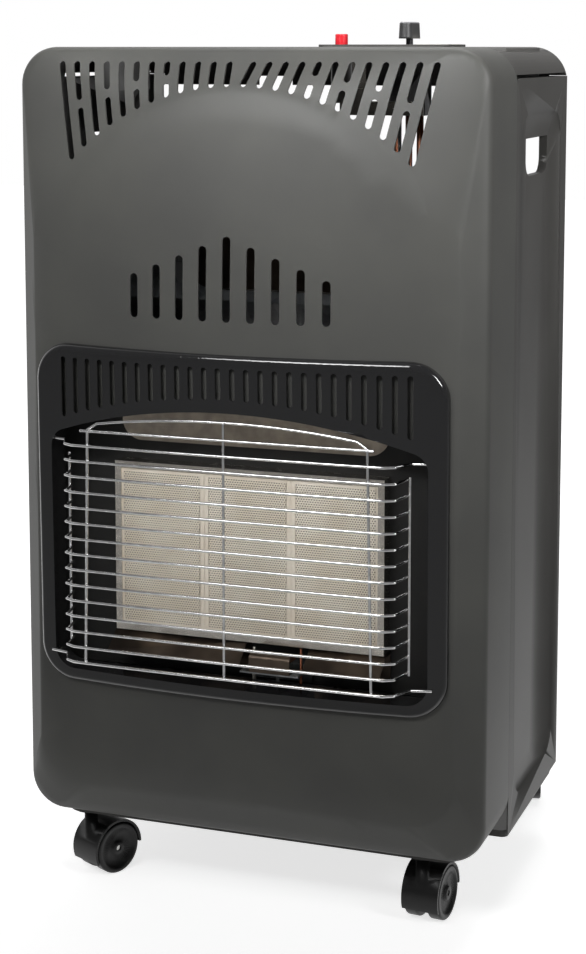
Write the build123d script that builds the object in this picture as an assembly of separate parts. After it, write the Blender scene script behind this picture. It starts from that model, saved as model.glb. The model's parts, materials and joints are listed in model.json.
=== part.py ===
from build123d import *
import os
from math import atan2, cos, degrees, radians, sin, sqrt, tan

# Portable cabinet gas heater. Millimetres, +Z up, the front faces -Y.
# While modelling, Y = 0 is the plane of the front shell's rim and Z = 0 the floor.
# The finished model is moved along Y so that its origin is the centre of its footprint.

# Cabinet
HALF_W = 207.0          # half the cabinet's width
TOP_Z = 740.0           # upper face of the cabinet
SHELL_Z = 70.0          # lower face of the front shell
SHELL_DEPTH = 80.0      # rim plane to the seam with the side panels
PANEL_DEPTH = 190.0     # seam to the rear edge of the side panels
CORNER_R = 32.0         # outline corners, seen from the front
SHEET = 1.2             # cabinet sheet thickness
SHELL_LIP = 22.0        # depth of the shell's lower lip
GAP = 0.3               # clearance between separate sheet pieces
CUT_PAST = 1.0          # how far a cut runs past the face it opens

# Front shell: flank from the rim inwards, and the bulged face inside it
RIM_BEND_R = 12.0       # bend between the shell's side walls and its flank
RIM_BEND_STEPS = 3
RIM_BEND_ANGLE = 45.0
CREASE_DEPTH = 27.0     # depth of the flank's middle section in front of the rim
CREASE_INSET = 27.0     # how far that section lies inside the rim, at the sides
CREASE_RISE = 45.0      # and at the lower edge
CREASE_DROP = 28.0      # top of its round head, below the cabinet's top
CREASE_R = 44.0         # its lower corners
FLANK_DEPTH = 60.0      # depth of the flank's innermost section
FLANK_INSET = 33.0      # its further inset at the sides
FLANK_TOP_INSET = 49.0  # its further inset at the top and bottom
FACE_EDGE_X = 186.0     # where the bulged face meets the flank
FACE_EDGE_DEPTH = 21.0
FACE_MARGIN = 2.0       # how far the bulge is drawn past the cabinet's sides
LOW_STATIONS = ((50, 16), (130, 27), (200, 35), (345, 43.5))             # height, depth of the bulge
HIGH_STATIONS = ((-240, 49.5), (-160, 48), (-94, 42), (-35, 33), (30, 23))   # height from the top, depth

# Vents in the front shell
FAN_COUNT = 12          # slots on each side of the middle
FAN_FIRST_X = 10.8
FAN_PITCH = 13.92
FAN_TOP_DROP = 12.0     # upper ends, below the cabinet's top
FAN_LEAN = 11.5         # degrees, lower ends lean to the middle
FAN_WIDTH = 5.6
FAN_SHORTEST = 20.0     # height of the fan at the middle
FAN_ARC_R = 208.0       # lower ends lie on this circle
FAN_BRIDGED = (4, 6, 8, 10)
FAN_BRIDGE = 6.5
SLOT_PITCH = 20.9       # middle row of nine upright slots
SLOT_SIDE_COUNT = 4
SLOT_WIDTH = 7.0
SLOT_BOTTOM_Z = 519.0
SLOT_HEIGHT = 69.6
SLOT_DROP = 8.3         # each slot is this much shorter than its inner neighbour
VENT_REACH = 20.0       # the vents are cut from the front to this depth behind the rim

# Bezel with the arched radiant opening
BEZEL_HALF_W = 181.0
BEZEL_BOTTOM_Z = 199.5
BEZEL_TOP_Z = 492.7
BEZEL_CORNER_R = 32.0
BEZEL_WALL = 2.0
BEZEL_ROUND = 5.0
BEZEL_STATIONS = ((150, 38, 26), (200, 41, 28), (345, 48.5, 30), (493, 53.5, 31.5), (520, 54, 31.5))
OPENING_HALF_W = 166.0
OPENING_BOTTOM_Z = 211.0
OPENING_TOP_Z = 445.0
OPENING_ARCH_R = 480.0
OPENING_BOTTOM_R = 18.0
OPENING_TOP_R = 16.0
REVEAL_FRONT_Y = -20.0  # the wall around the opening reaches at least this far forward
REVEAL_BACK_Y = -8.0    # its rear edge
SLAT_COUNT = 13         # slots on each side of the middle, above the opening
SLAT_FIRST_X = 6.2
SLAT_PITCH = 12.15
SLAT_WIDTH = 4.8
SLAT_TOP_DROP = 10.7    # upper ends, below the bezel's top
SLAT_ABOVE_ARCH = 10.5

# Wire guard
WIRE_R = 1.2
WELD = 0.3              # how far welded wires sink into each other
GUARD_HALF_W = 148.5
GUARD_FRONT_Y = -58.5   # centre line of the level wires, in the middle
GUARD_BOW = 2.2
GUARD_SIDE_Y = -30.0
GUARD_FIRST_Z = 224.8
GUARD_PITCH = 13.28
GUARD_COUNT = 15
GUARD_UPRIGHT_X = 126.0
GUARD_ARCH_SIDE_Z = 428.0
GUARD_ARCH_TOP_Z = 437.8
GUARD_EXTRA_Z = 423.6
GUARD_BEND_R = 5.0
GUARD_HOOK_PAST = 1.5   # the hooked ends stand this far out behind the bezel's wall
GUARD_OVERHANG = 2.0    # how far a wire runs past the one it crosses
GUARD_HOLE_PLAY = 0.4

# Burners
PLAQUE_W = 77.7
PLAQUE_PITCH = 78.0
PLAQUE_H = 140.0
PLAQUE_BOTTOM_Z = 245.0
PLAQUE_FRONT_Y = -3.0
PLAQUE_T = 14.0
GASKET_T = 1.0
GASKET_W = 4.0
BURNER_SHEET = 1.2
PLAQUE_FRAME_W = 3.6    # free width of the frame around the three plaques
PLAQUE_LIP = 2.0
BURNER_PANEL_BELOW = 40.0   # the panel reaches this far below and above the plaques
BURNER_PANEL_ABOVE = 70.0
BURNER_PANEL_FLANGE = 20.0
BOX_DEPTH = 32.0
BOX_ROUND = 6.0
MIXER_R = 11.0
MIXER_THROAT_R = 7.5
MIXER_FLARE = 1.2       # how much the tube has opened halfway to its mouth
MIXER_MOUTH_R = 14.0
MIXER_LENGTH = 75.8
MIXER_WALL = 1.0
INJECTOR_BAR_DROP = 22.0    # bar to the mouths of the mixing tubes
INJECTOR_BAR_W = 30.0
INJECTOR_BAR_LIP = 12.0
INJECTOR_BAR_EAR = 22.0
INJECTOR_R = 4.0
INJECTOR_HEX = 12.0
INJECTOR_H = 14.0
INJECTOR_TAIL = 8.0
INJECTOR_TIP_R = 2.0
INJECTOR_BORE_R = 0.8
PIPE_R = 3.0
PIPE_BEND_R = 7.0
PIPE_PITCH = 10.0       # distance between the three gas pipes
PIPE_DROP = 52.0        # lowest pipe below the injector bar
PIPE_STRAIGHT = 40.0    # straight run under the valve
PIPE_JOG = 50.0         # height over which the pipes move forward
PIPE_BEHIND_SHIELD = 18.0

# Reflectors, pilot and heat shield
REFLECTOR_HALF_W = 122.0
REFLECTOR_TOP_HALF_W = 150.0
REFLECTOR_TOP_RISE = 67.0   # ceiling above the plaques
REFLECTOR_REACH = 38.0      # forward reach of the ceiling over the plaques
TINTED_INSET = 30.0         # upright sheet under the ceiling, narrower than it at each side
TINTED_RISE = 20.0          # its lower edge above the plaques
TINTED_R = 18.0
TROUGH_DROP = 24.0
TROUGH_FLAT = 14.0
TROUGH_SLOPE = 18.0
TROUGH_FOLD = 1.3           # vertical thickness of a sloping sheet, in sheet thicknesses
PILOT_X = 27.0
PILOT_W = 36.0
PILOT_Y = -16.0
PILOT_BELOW = 23.0          # pilot's foot below the plaques
PILOT_H = 15.0
PILOT_D = 16.0
PILOT_ROUND = 4.0
PILOT_WALL = 1.0
PILOT_WINDOW = 9.0          # height of the cover's open front
PILOT_ARM_W = 52.0          # arm that carries the pilot, electrode and thermocouple
PILOT_ARM_PLAY = 2.0
ELECTRODE_X = 6.0
ELECTRODE_R = 1.6
ELECTRODE_WIRE_R = 0.8
ELECTRODE_LENGTH = 24.0
ELECTRODE_TIP = 9.0
COUPLE_X = 48.0
COUPLE_R = 1.2
COUPLE_TIP_RISE = 18.0
SENSOR_PLAY = 0.2
SENSOR_Y = -3.0             # electrode and thermocouple stand at this depth
LEAD_R = 1.5
PILOT_PIPE_R = 1.5
SMALL_BEND_R = 6.0
LEAD_LANE_Y = 52.0          # upright runs between the burners and the shield
PILOT_PIPE_LANE_Y = 58.0
COUPLE_LANE_Y = 64.0
LEAD_LANE_X = 60.0
LEAD_CROSS_X = 21.5
SMALL_PIPE_X = 99.0
COUPLE_LANE_X = 109.0
SMALL_PIPE_Y = 104.0
LEAD_LOW = 46.0             # lowest runs, below the pilot's foot
PILOT_PIPE_LOW = 32.0
COUPLE_LOW = 40.0
LANE_JOG_TOP = 80.0         # below the valve
LANE_JOG_BOTTOM = 120.0
SHIELD_FROM_SEAM = 10.0
SHIELD_TOP_ABOVE = 136.0    # above the plaques
SHIELD_BOTTOM_Z = 150.0
SHIELD_TAB_H = 40.0
SHIELD_TAB_DEPTH = 20.0
SHIELD_TOP_TAB = 80.0

# Side panels and top cover
PANEL_BOTTOM_Z = 68.0
PANEL_TOP_DROP = 26.0
COVER_EDGE_DROP = 23.0
COVER_SKIRT_DROP = 36.0
SKIRT_NOTCH_X = -75.0
SKIRT_NOTCH_W = 34.0
SKIRT_NOTCH_H = 8.5
COVER_TAB_H = 14.0      # tabs under the cover reach this far into the panels
COVER_TAB_FRONT = 30.0
COVER_TAB_REAR = 40.0
TAB_DEPTH = 15.0        # joggled tabs that reach inside the neighbouring piece
REAR_FLANGE = 15.0
HAND_HOLE_FROM_SEAM = 80.0
HAND_HOLE_W = 80.0
HAND_HOLE_DROP = 109.0  # lower edge, below the cabinet's top
HAND_HOLE_H = 32.0
HAND_HOLE_R = 14.0
HAND_LIP = 6.0
EMBOSS_FRONT = 20.0     # recess, from the seam
EMBOSS_REAR = 24.0      # from the rear edge
EMBOSS_BOTTOM = 24.0    # from the panel's lower edge
EMBOSS_TOP = 30.0       # from its upper edge
EMBOSS_R = 24.0
EMBOSS_DEPTH = 2.0

# Base tray
TRAY_FLOOR_Z = 64.0
TRAY_SHEET = 1.5
TRAY_FRONT_Y = 12.0
TRAY_CORNER_R = 6.0
TRAY_FRONT_R = 14.0     # corners of the narrow part inside the front shell
TRAY_TAIL = 106.0       # how far the tray stands out behind the side panels
TRAY_TAIL_INSET = 27.0
TRAY_TAIL_R = 30.0
TRAY_FLANGE_H = 18.0
TRAY_FLANGE_END = 8.0
TRAY_TAIL_RIM = 20.0    # height of the tail's rim

# Castors
WHEEL_R = 23.0
WHEEL_W = 12.0
WHEEL_ROUND = 2.0
WHEEL_TREAD = 5.0       # width of the ring around the recess in a wheel's face
WHEEL_HUB_R = 6.0
WHEEL_RECESS = 1.5
WHEEL_PLAY = 0.5
FORK_W = 8.0
AXLE_R = 2.5
AXLE_PLAY = 0.05
AXLE_END = 1.0          # the axle's ends lie this far inside the wheels' faces
CASTOR_TRAIL = 18.0
FRONT_CASTOR_Y = 30.0
REAR_CASTOR_INSET = 48.0
CASTORS = (("front_left", -1, -1, 43.0, -26.0), ("front_right", 1, -1, 61.0, -6.0),
           ("rear_left", -1, 1, 44.0, 8.0), ("rear_right", 1, 1, 44.0, 13.0))   # side, end, inset, turn
HOOD_WALL = 2.2
HOOD_PLAY = 1.0
HOOD_FRONT_Z = 13.0     # the hood reaches this low in front of the wheels
NECK_R = 6.0
STEM_R = 5.5
STEM_PLAY = 0.05
STEM_LENGTH = 28.0      # above the neck
STEM_HEADROOM = 1.0
SOCKET_WALL = 3.0
SOCKET_FLANGE_R = 15.0
SOCKET_FLANGE_T = 2.0

# Controls
PLATE_X0 = 28.0
PLATE_X1 = 146.0
PLATE_FRONT = 12.0      # from the seam
PLATE_D = 54.0
PLATE_T = 2.0
PLATE_R = 6.0
CONTROL_FROM_SEAM = 34.0
KNOB_X = 104.0
KNOB_W = 12.0
KNOB_LENGTH = 34.0
KNOB_H = 14.0
KNOB_TAPER = 3.0
KNOB_ROUND = 1.5
KNOB_PLAY = 5.0         # free height under the knob, more than its travel
KNOB_GRIP = 11.4        # how far the spindle reaches into the knob
SPINDLE_R = 3.0
SPINDLE_PLAY = 0.06
SPINDLE_TAIL = 10.0
VALVE_W = 34.0
VALVE_D = 28.0
VALVE_H = 34.0
VALVE_DROP = 24.0       # top of the valve's body, below the cabinet's top
VALVE_CHAMFER = 4.0
VALVE_FLOOR = 5.0
NECK_VALVE_R = 9.0
PLUNGER_R = 6.0
PLUNGER_H = 6.0
PLUNGER_TRAVEL = 4.0
PLUNGER_SINK = 1.0
PLUNGER_SPACE = 3.0
BRACKET_X0 = 47.0
BRACKET_HANGER_X = 64.0
BRACKET_H = 12.0
BRACKET_FOOT = 12.0
BUTTON_X = 43.0
BUTTON_R = 5.5
BUTTON_H = 9.0
BUTTON_SINK = 14.0
BUTTON_PLAY = 0.1
BUTTON_ROUND = 1.0
IGNITER_R = 9.0
IGNITER_H = 48.0
IGNITER_FLOOR = 12.0
IGNITER_NUT = 3.0       # width and height of the nut under the cover
NOZZLE_R = 4.0
NOZZLE_LENGTH = 24.0
NOZZLE_BORE_R = 2.0
NOZZLE_HEX = 15.0
NOZZLE_HEX_L = 8.0
NOZZLE_RISE = 8.0       # above the valve's lower face

# Derived places
SEAM_Y = SHELL_DEPTH
REAR_Y = SHELL_DEPTH + PANEL_DEPTH
TRAY_REAR_Y = REAR_Y + TRAY_TAIL
INNER_W = HALF_W - SHEET
CREASE_APEX_Z = TOP_Z - CREASE_DROP
RIM_BEND_Y = RIM_BEND_R * tan(radians(RIM_BEND_ANGLE / 2))
FAN_TOP_Z = TOP_Z - FAN_TOP_DROP
FAN_ARC_Z = FAN_TOP_Z - FAN_SHORTEST - FAN_ARC_R
SLAT_TOP_Z = BEZEL_TOP_Z - SLAT_TOP_DROP
PANEL_TOP_Z = TOP_Z - PANEL_TOP_DROP
COVER_EDGE_Z = TOP_Z - COVER_EDGE_DROP
COVER_SKIRT_Z = TOP_Z - COVER_SKIRT_DROP
HAND_HOLE_Z = TOP_Z - HAND_HOLE_DROP
HAND_HOLE_Y = SEAM_Y + HAND_HOLE_FROM_SEAM
CONTROL_Y = SEAM_Y + CONTROL_FROM_SEAM
VALVE_TOP_Z = TOP_Z - VALVE_DROP
VALVE_LOW_Z = VALVE_TOP_Z - VALVE_H
TRAY_TOP_Z = TRAY_FLOOR_Z + TRAY_SHEET
TRAY_TAIL_HALF_W = HALF_W - TRAY_TAIL_INSET
PLAQUE_BACK_Y = PLAQUE_FRONT_Y + PLAQUE_T
BURNER_PANEL_Y = PLAQUE_BACK_Y + GASKET_T
BOX_FRONT_Y = BURNER_PANEL_Y + BURNER_SHEET
PLAQUE_TOP_Z = PLAQUE_BOTTOM_Z + PLAQUE_H
BOX_LOW_Z = PLAQUE_BOTTOM_Z + GASKET_W - BURNER_SHEET
MIXER_BOTTOM_Z = BOX_LOW_Z - MIXER_LENGTH
INJECTOR_BAR_Z = MIXER_BOTTOM_Z - INJECTOR_BAR_DROP
REFLECTOR_TOP_Z = PLAQUE_TOP_Z + REFLECTOR_TOP_RISE
PILOT_Z = PLAQUE_BOTTOM_Z - PILOT_BELOW
SHIELD_Y = SEAM_Y - SHIELD_FROM_SEAM
SHIELD_TOP_Z = PLAQUE_TOP_Z + SHIELD_TOP_ABOVE
MIXER_Y = BOX_FRONT_Y + BOX_DEPTH / 2
PLATE_TOP_Z = TOP_Z + PLATE_T
HOOD_INNER_R = WHEEL_R + HOOD_PLAY
HOOD_HALF_W = FORK_W / 2 + WHEEL_PLAY + WHEEL_W
NECK_TOP_Z = TRAY_FLOOR_Z - SOCKET_FLANGE_T - GAP
SOCKET_R = STEM_R + STEM_PLAY + SOCKET_WALL
SOCKET_TOP_Z = NECK_TOP_Z + STEM_LENGTH + SOCKET_WALL
SEAT_Y = SEAM_Y + 3 * GAP + SHEET
TRAY_TAIL_EDGE_Z = TRAY_FLOOR_Z + TRAY_TAIL_RIM
PLATE_Y0 = SEAM_Y + PLATE_FRONT
PLATE_Y1 = PLATE_Y0 + PLATE_D
UNDER_COVER_Z = TOP_Z - SHEET - GAP
SPINDLE_TOP_Z = PLATE_TOP_Z + KNOB_PLAY + KNOB_GRIP
CASTOR_YS = {-1: FRONT_CASTOR_Y, 1: TRAY_REAR_Y - REAR_CASTOR_INSET}
CASTOR_PLACES = [(name, side * (HALF_W - inset), CASTOR_YS[end], turn) for name, side, end, inset, turn in CASTORS]
CENTRE_Y = (GUARD_FRONT_Y - WIRE_R + TRAY_REAR_Y) / 2


def box(x0, x1, y0, y1, z0, z1):
    """A block between two corners."""
    return Pos((x0 + x1) / 2, (y0 + y1) / 2, (z0 + z1) / 2) * Box(x1 - x0, y1 - y0, z1 - z0)


def front_prism(outline, y0, y1):
    """An outline drawn in X and Z, standing from y0 to y1."""
    return extrude(Pos(0, y0, 0) * (Plane.XZ * outline), y1 - y0, dir=(0, 1, 0))


def side_prism(outline, x0, x1):
    """An outline drawn in Y and Z, standing from x0 to x1."""
    return extrude(Pos(x0, 0, 0) * (Plane.YZ * outline), x1 - x0, dir=(1, 0, 0))


def rounded_rect(x0, x1, z0, z1, radius):
    """A rounded rectangle in X and Z."""
    return Pos((x0 + x1) / 2, (z0 + z1) / 2) * RectangleRounded(x1 - x0, z1 - z0, radius)


def upright(radius, x, y, z0, z1):
    """A round bar standing along Z."""
    return Pos(x, y, (z0 + z1) / 2) * Cylinder(radius, z1 - z0)


def tube(radius, points, bends):
    """A round bar along straight runs joined by arcs."""
    path = FilletPolyline(*points, radius=bends)
    section = Plane(origin=path @ 0, z_dir=path % 0) * Circle(radius)
    return sweep(section, path=path)


def slot_shape(x0, z0, x1, z1, width):
    """A slot with round ends between two tips in X and Z."""
    length = sqrt((x1 - x0) ** 2 + (z1 - z0) ** 2)
    middle = Vector((x0 + x1) / 2, (z0 + z1) / 2, 0)
    turn = degrees(atan2(z1 - z0, x1 - x0))
    return Pos(middle) * Rot(0, 0, turn) * SlotOverall(length, width)


# ---------------------------------------------------------------- front shell

def rim_section(half_w, bottom_z, top_z, radius, y):
    """Rounded rectangle as eight edges, in step with head_section."""
    side = half_w - radius
    bend = radius * (1 - sqrt(0.5))
    wire = Wire([
        Line((-side, bottom_z), (side, bottom_z)),
        ThreePointArc((side, bottom_z), (half_w - bend, bottom_z + bend), (half_w, bottom_z + radius)),
        Line((half_w, bottom_z + radius), (half_w, top_z - radius)),
        ThreePointArc((half_w, top_z - radius), (half_w - bend, top_z - bend), (side, top_z)),
        Line((side, top_z), (-side, top_z)),
        ThreePointArc((-side, top_z), (bend - half_w, top_z - bend), (-half_w, top_z - radius)),
        Line((-half_w, top_z - radius), (-half_w, bottom_z + radius)),
        ThreePointArc((-half_w, bottom_z + radius), (bend - half_w, bottom_z + bend), (-side, bottom_z)),
    ])
    return Pos(0, y, 0) * (Plane.XZ * Face(wire))


def head_section(half_w, bottom_z, apex_z, radius, y):
    """Outline with a half-round head, as eight edges."""
    side = half_w - radius
    bend = radius * (1 - sqrt(0.5))
    spring_z = apex_z - half_w

    def head(angle):
        return (half_w * cos(radians(angle)), spring_z + half_w * sin(radians(angle)))

    wire = Wire([
        Line((-side, bottom_z), (side, bottom_z)),
        ThreePointArc((side, bottom_z), (half_w - bend, bottom_z + bend), (half_w, bottom_z + radius)),
        Line((half_w, bottom_z + radius), (half_w, spring_z)),
        ThreePointArc(head(0), head(30), head(60)),
        ThreePointArc(head(60), head(90), head(120)),
        ThreePointArc(head(120), head(150), head(180)),
        Line((-half_w, spring_z), (-half_w, bottom_z + radius)),
        ThreePointArc((-half_w, bottom_z + radius), (bend - half_w, bottom_z + bend), (-side, bottom_z)),
    ])
    return Pos(0, y, 0) * (Plane.XZ * Face(wire))


def bowed_body(stations, edge_x, back_y):
    """Body whose front bulges between the stations (height, middle depth, edge depth)."""
    sections = []
    for z, middle, edge in stations:
        front = ThreePointArc((-edge_x, -edge), (0, -middle), (edge_x, -edge))
        back = Polyline((edge_x, -edge), (edge_x, back_y), (-edge_x, back_y), (-edge_x, -edge))
        sections.append(Pos(0, 0, z) * make_face(front + back))
    return loft(sections)


def rim_bend(half_w, bottom_z, top_z, radius):
    """Sections around the bend from the side walls to the flank, rear one first."""
    sections = []
    for step in range(RIM_BEND_STEPS + 1):
        angle = radians(RIM_BEND_ANGLE * step / RIM_BEND_STEPS)
        inset = RIM_BEND_R * (1 - cos(angle))
        sections.append(rim_section(half_w - inset, bottom_z + inset, top_z - inset, radius - inset,
                                    RIM_BEND_Y - RIM_BEND_R * sin(angle)))
    return sections


def shell_body(inset):
    """The shell's full outer form, or the same form drawn in by a wall."""
    half_w = HALF_W - inset
    crease_w = half_w - CREASE_INSET
    flank_w = crease_w - FLANK_INSET
    bottom_z = SHELL_Z + inset
    top_z = TOP_Z - inset
    crease_z = bottom_z + CREASE_RISE
    flank_z = crease_z + FLANK_TOP_INSET
    apex_z = CREASE_APEX_Z - inset
    corner = CORNER_R - inset
    sections = rim_bend(half_w, bottom_z, top_z, corner)
    sections.append(head_section(crease_w, crease_z, apex_z, CREASE_R, -CREASE_DEPTH))
    sections.append(head_section(flank_w, flank_z, apex_z - FLANK_TOP_INSET, CORNER_R, -FLANK_DEPTH))
    flank = loft(sections, ruled=True)
    reach = HALF_W + FACE_MARGIN
    stations = []
    for z, depth in LOW_STATIONS + tuple((TOP_Z + above, depth) for above, depth in HIGH_STATIONS):
        drop = (depth - FACE_EDGE_DEPTH) * (reach / FACE_EDGE_X) ** 2
        stations.append((z, depth, depth - drop))
    face = bowed_body(stations, reach, SHELL_DEPTH)
    outline = rounded_rect(-half_w, half_w, bottom_z, top_z, corner)
    tray = front_prism(outline, RIM_BEND_Y, SHELL_DEPTH + inset)
    if inset == 0:
        cutter = box(-reach, reach, -FLANK_DEPTH - CREASE_DEPTH, RIM_BEND_Y - CUT_PAST, 0, TOP_Z + CORNER_R)
        return flank + tray - (cutter - face)
    return Pos(0, inset, 0) * (flank & face) + tray


def fan_slots():
    """The fan of leaning slots under the shell's top edge."""
    lean_x = sin(radians(FAN_LEAN))
    lean_z = cos(radians(FAN_LEAN))
    cuts = []
    for k in range(FAN_COUNT):
        x0 = FAN_FIRST_X + k * FAN_PITCH
        rise = FAN_TOP_Z - FAN_ARC_Z
        along = x0 * lean_x + rise * lean_z
        length = along - sqrt(along ** 2 - (x0 ** 2 + rise ** 2 - FAN_ARC_R ** 2))
        spans = [(0, length)]
        if k in FAN_BRIDGED:
            spans = [(0, (length - FAN_BRIDGE) / 2), ((length + FAN_BRIDGE) / 2, length)]
        for start, end in spans:
            for side in (-1, 1):
                cuts.append(slot_shape(side * (x0 - start * lean_x), FAN_TOP_Z - start * lean_z,
                                       side * (x0 - end * lean_x), FAN_TOP_Z - end * lean_z, FAN_WIDTH))
    return cuts


def middle_slots():
    """The nine upright slots above the bezel."""
    cuts = []
    for k in range(-SLOT_SIDE_COUNT, SLOT_SIDE_COUNT + 1):
        top = SLOT_BOTTOM_Z + SLOT_HEIGHT - abs(k) * SLOT_DROP
        cuts.append(slot_shape(k * SLOT_PITCH, SLOT_BOTTOM_Z, k * SLOT_PITCH, top, SLOT_WIDTH))
    return cuts


def opening_outline(outset):
    """The arched opening of the bezel."""
    arch_z = OPENING_TOP_Z - OPENING_ARCH_R + sqrt(OPENING_ARCH_R ** 2 - OPENING_HALF_W ** 2)
    half_w = OPENING_HALF_W
    face = make_face(Polyline((half_w, arch_z), (half_w, OPENING_BOTTOM_Z),
                              (-half_w, OPENING_BOTTOM_Z), (-half_w, arch_z))
                     + ThreePointArc((-half_w, arch_z), (0, OPENING_TOP_Z), (half_w, arch_z)))
    corners = face.vertices().sort_by(Axis.Y)
    face = fillet(corners[:2], OPENING_BOTTOM_R)
    face = fillet(face.vertices().sort_by(Axis.Y)[-2:], OPENING_TOP_R)
    if outset:
        face = offset(face, outset)
    return face


def make_front_shell():
    shell = shell_body(0) - shell_body(SHEET)
    window = opening_outline(BEZEL_WALL + GAP)
    cuts = [front_prism(window, -FLANK_DEPTH, 0)]
    for outline in fan_slots() + middle_slots():
        cuts.append(front_prism(outline, -FLANK_DEPTH, VENT_REACH))
    lip_end = HALF_W - CORNER_R - SHEET
    cuts.append(box(-lip_end, lip_end, SHELL_LIP, SHELL_DEPTH + CUT_PAST, SHELL_Z - CUT_PAST,
                    SHELL_Z + SHEET + CUT_PAST))
    return shell - cuts


# ---------------------------------------------------------------- bezel and guard

def bezel_body(inset):
    """The bezel's full form, or the same form drawn in by its wall."""
    half_w = BEZEL_HALF_W - inset
    outline = rounded_rect(-half_w, half_w, BEZEL_BOTTOM_Z + inset, BEZEL_TOP_Z - inset,
                           BEZEL_CORNER_R - inset)
    block = front_prism(outline, -FLANK_DEPTH, 0)
    stations = [(z, middle - inset, edge - inset) for z, middle, edge in BEZEL_STATIONS]
    body = block & bowed_body(stations, BEZEL_HALF_W, CUT_PAST)
    front = body.edges().filter_by_position(Axis.Y, -FLANK_DEPTH, -BEZEL_STATIONS[0][2] / 2)
    return fillet(front, BEZEL_ROUND - inset)


def slat_outlines():
    """Upright vents in the bezel, over the arch."""
    cuts = []
    for k in range(SLAT_COUNT):
        x = SLAT_FIRST_X + k * SLAT_PITCH
        arch = OPENING_TOP_Z - OPENING_ARCH_R + sqrt(OPENING_ARCH_R ** 2 - x ** 2)
        for side in (-1, 1):
            cuts.append(slot_shape(side * x, arch + SLAT_ABOVE_ARCH, side * x, SLAT_TOP_Z, SLAT_WIDTH))
    return cuts


def hook_holes(radius):
    """Cross bars where the guard's first and last wires enter the bezel's side walls."""
    bars = []
    for z in (GUARD_FIRST_Z, GUARD_FIRST_Z + (GUARD_COUNT - 1) * GUARD_PITCH):
        for side in (-1, 1):
            x = side * (OPENING_HALF_W + BEZEL_WALL / 2)
            bars.append(Pos(x, GUARD_SIDE_Y, z) * Rot(0, 90, 0) * Cylinder(radius, 3 * BEZEL_WALL))
    return bars


def make_bezel():
    skin = bezel_body(0) - bezel_body(BEZEL_WALL)
    skin -= Pos(0, -GAP, 0) * shell_body(0)
    ring = front_prism(opening_outline(BEZEL_WALL), -FLANK_DEPTH, REVEAL_BACK_Y)
    reveal = ring & (bezel_body(0) + box(-BEZEL_HALF_W, BEZEL_HALF_W, REVEAL_FRONT_Y, 0, BEZEL_BOTTOM_Z, BEZEL_TOP_Z))
    bezel = skin + reveal - front_prism(opening_outline(0), -FLANK_DEPTH - CUT_PAST, CUT_PAST)
    cuts = [front_prism(outline, -FLANK_DEPTH, -BEZEL_WALL) for outline in slat_outlines()]
    return bezel - cuts - hook_holes(WIRE_R + GUARD_HOLE_PLAY)


def level_wire(z, hooked):
    """One level guard wire, bowed forward, with its ends bent back."""
    end_y = GUARD_FRONT_Y + GUARD_BOW
    half_w = GUARD_HALF_W
    right = [(half_w, end_y), (half_w, GUARD_SIDE_Y)]
    if hooked:
        right.append((OPENING_HALF_W + BEZEL_WALL + GUARD_HOOK_PAST, GUARD_SIDE_Y))
    left = [(-x, y) for x, y in reversed(right)]
    path = Wire([*Polyline(*left).edges(),
                 *ThreePointArc((-half_w, end_y), (0, GUARD_FRONT_Y), (half_w, end_y)).edges(),
                 *Polyline(*right).edges()])
    inner = path.vertices().sort_by(Axis.X)
    corners = inner[1:-1] if hooked else [v for v in inner if abs(v.Y - end_y) < 0.01]
    path = Pos(0, 0, z) * path.fillet_2d(GUARD_BEND_R, corners)
    section = Plane(origin=path @ 0, z_dir=path % 0) * Circle(WIRE_R)
    return sweep(section, path=path)


def make_wire_guard():
    last = GUARD_COUNT - 1
    wires = [level_wire(GUARD_FIRST_Z + i * GUARD_PITCH, i in (0, last)) for i in range(GUARD_COUNT)]
    behind = 2 * WIRE_R - WELD
    x = GUARD_UPRIGHT_X
    bow_at_x = GUARD_BOW * (x / GUARD_HALF_W) ** 2
    arch_y = GUARD_FRONT_Y + bow_at_x + behind
    foot_z = GUARD_FIRST_Z - WIRE_R
    path = Wire([
        *Line((-x, foot_z), (-x, GUARD_ARCH_SIDE_Z)).edges(),
        *ThreePointArc((-x, GUARD_ARCH_SIDE_Z), (0, GUARD_ARCH_TOP_Z), (x, GUARD_ARCH_SIDE_Z)).edges(),
        *Line((x, GUARD_ARCH_SIDE_Z), (x, foot_z)).edges(),
    ])
    corners = [v for v in path.vertices() if abs(v.Y - GUARD_ARCH_SIDE_Z) < 0.01]
    path = Pos(0, arch_y, 0) * (Plane.XZ * path.fillet_2d(GUARD_BEND_R, corners))
    wires.append(sweep(Plane(origin=path @ 0, z_dir=path % 0) * Circle(WIRE_R), path=path))
    wires.append(upright(WIRE_R, 0, GUARD_FRONT_Y + behind, foot_z, GUARD_ARCH_TOP_Z))
    wires.append(Pos(0, arch_y - behind, GUARD_EXTRA_Z) * Rot(0, 90, 0) * Cylinder(WIRE_R, 2 * (x + GUARD_OVERHANG)))
    low_z = GUARD_FIRST_Z + GUARD_PITCH - GUARD_OVERHANG
    high_z = GUARD_FIRST_Z + (last - 1) * GUARD_PITCH + GUARD_OVERHANG
    for side in (-1, 1):
        wires.append(upright(WIRE_R, side * (GUARD_HALF_W + behind), GUARD_SIDE_Y - WIRE_R, low_z, high_z))
    return wires[0].fuse(*wires[1:])


# ---------------------------------------------------------------- burners

def plaque_x(index):
    return (index - 1) * PLAQUE_PITCH


def make_plaque(index):
    """Ceramic plaque; its fine perforation is surface work."""
    x = plaque_x(index)
    return box(x - PLAQUE_W / 2, x + PLAQUE_W / 2, PLAQUE_FRONT_Y, PLAQUE_BACK_Y, PLAQUE_BOTTOM_Z, PLAQUE_TOP_Z)


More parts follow.
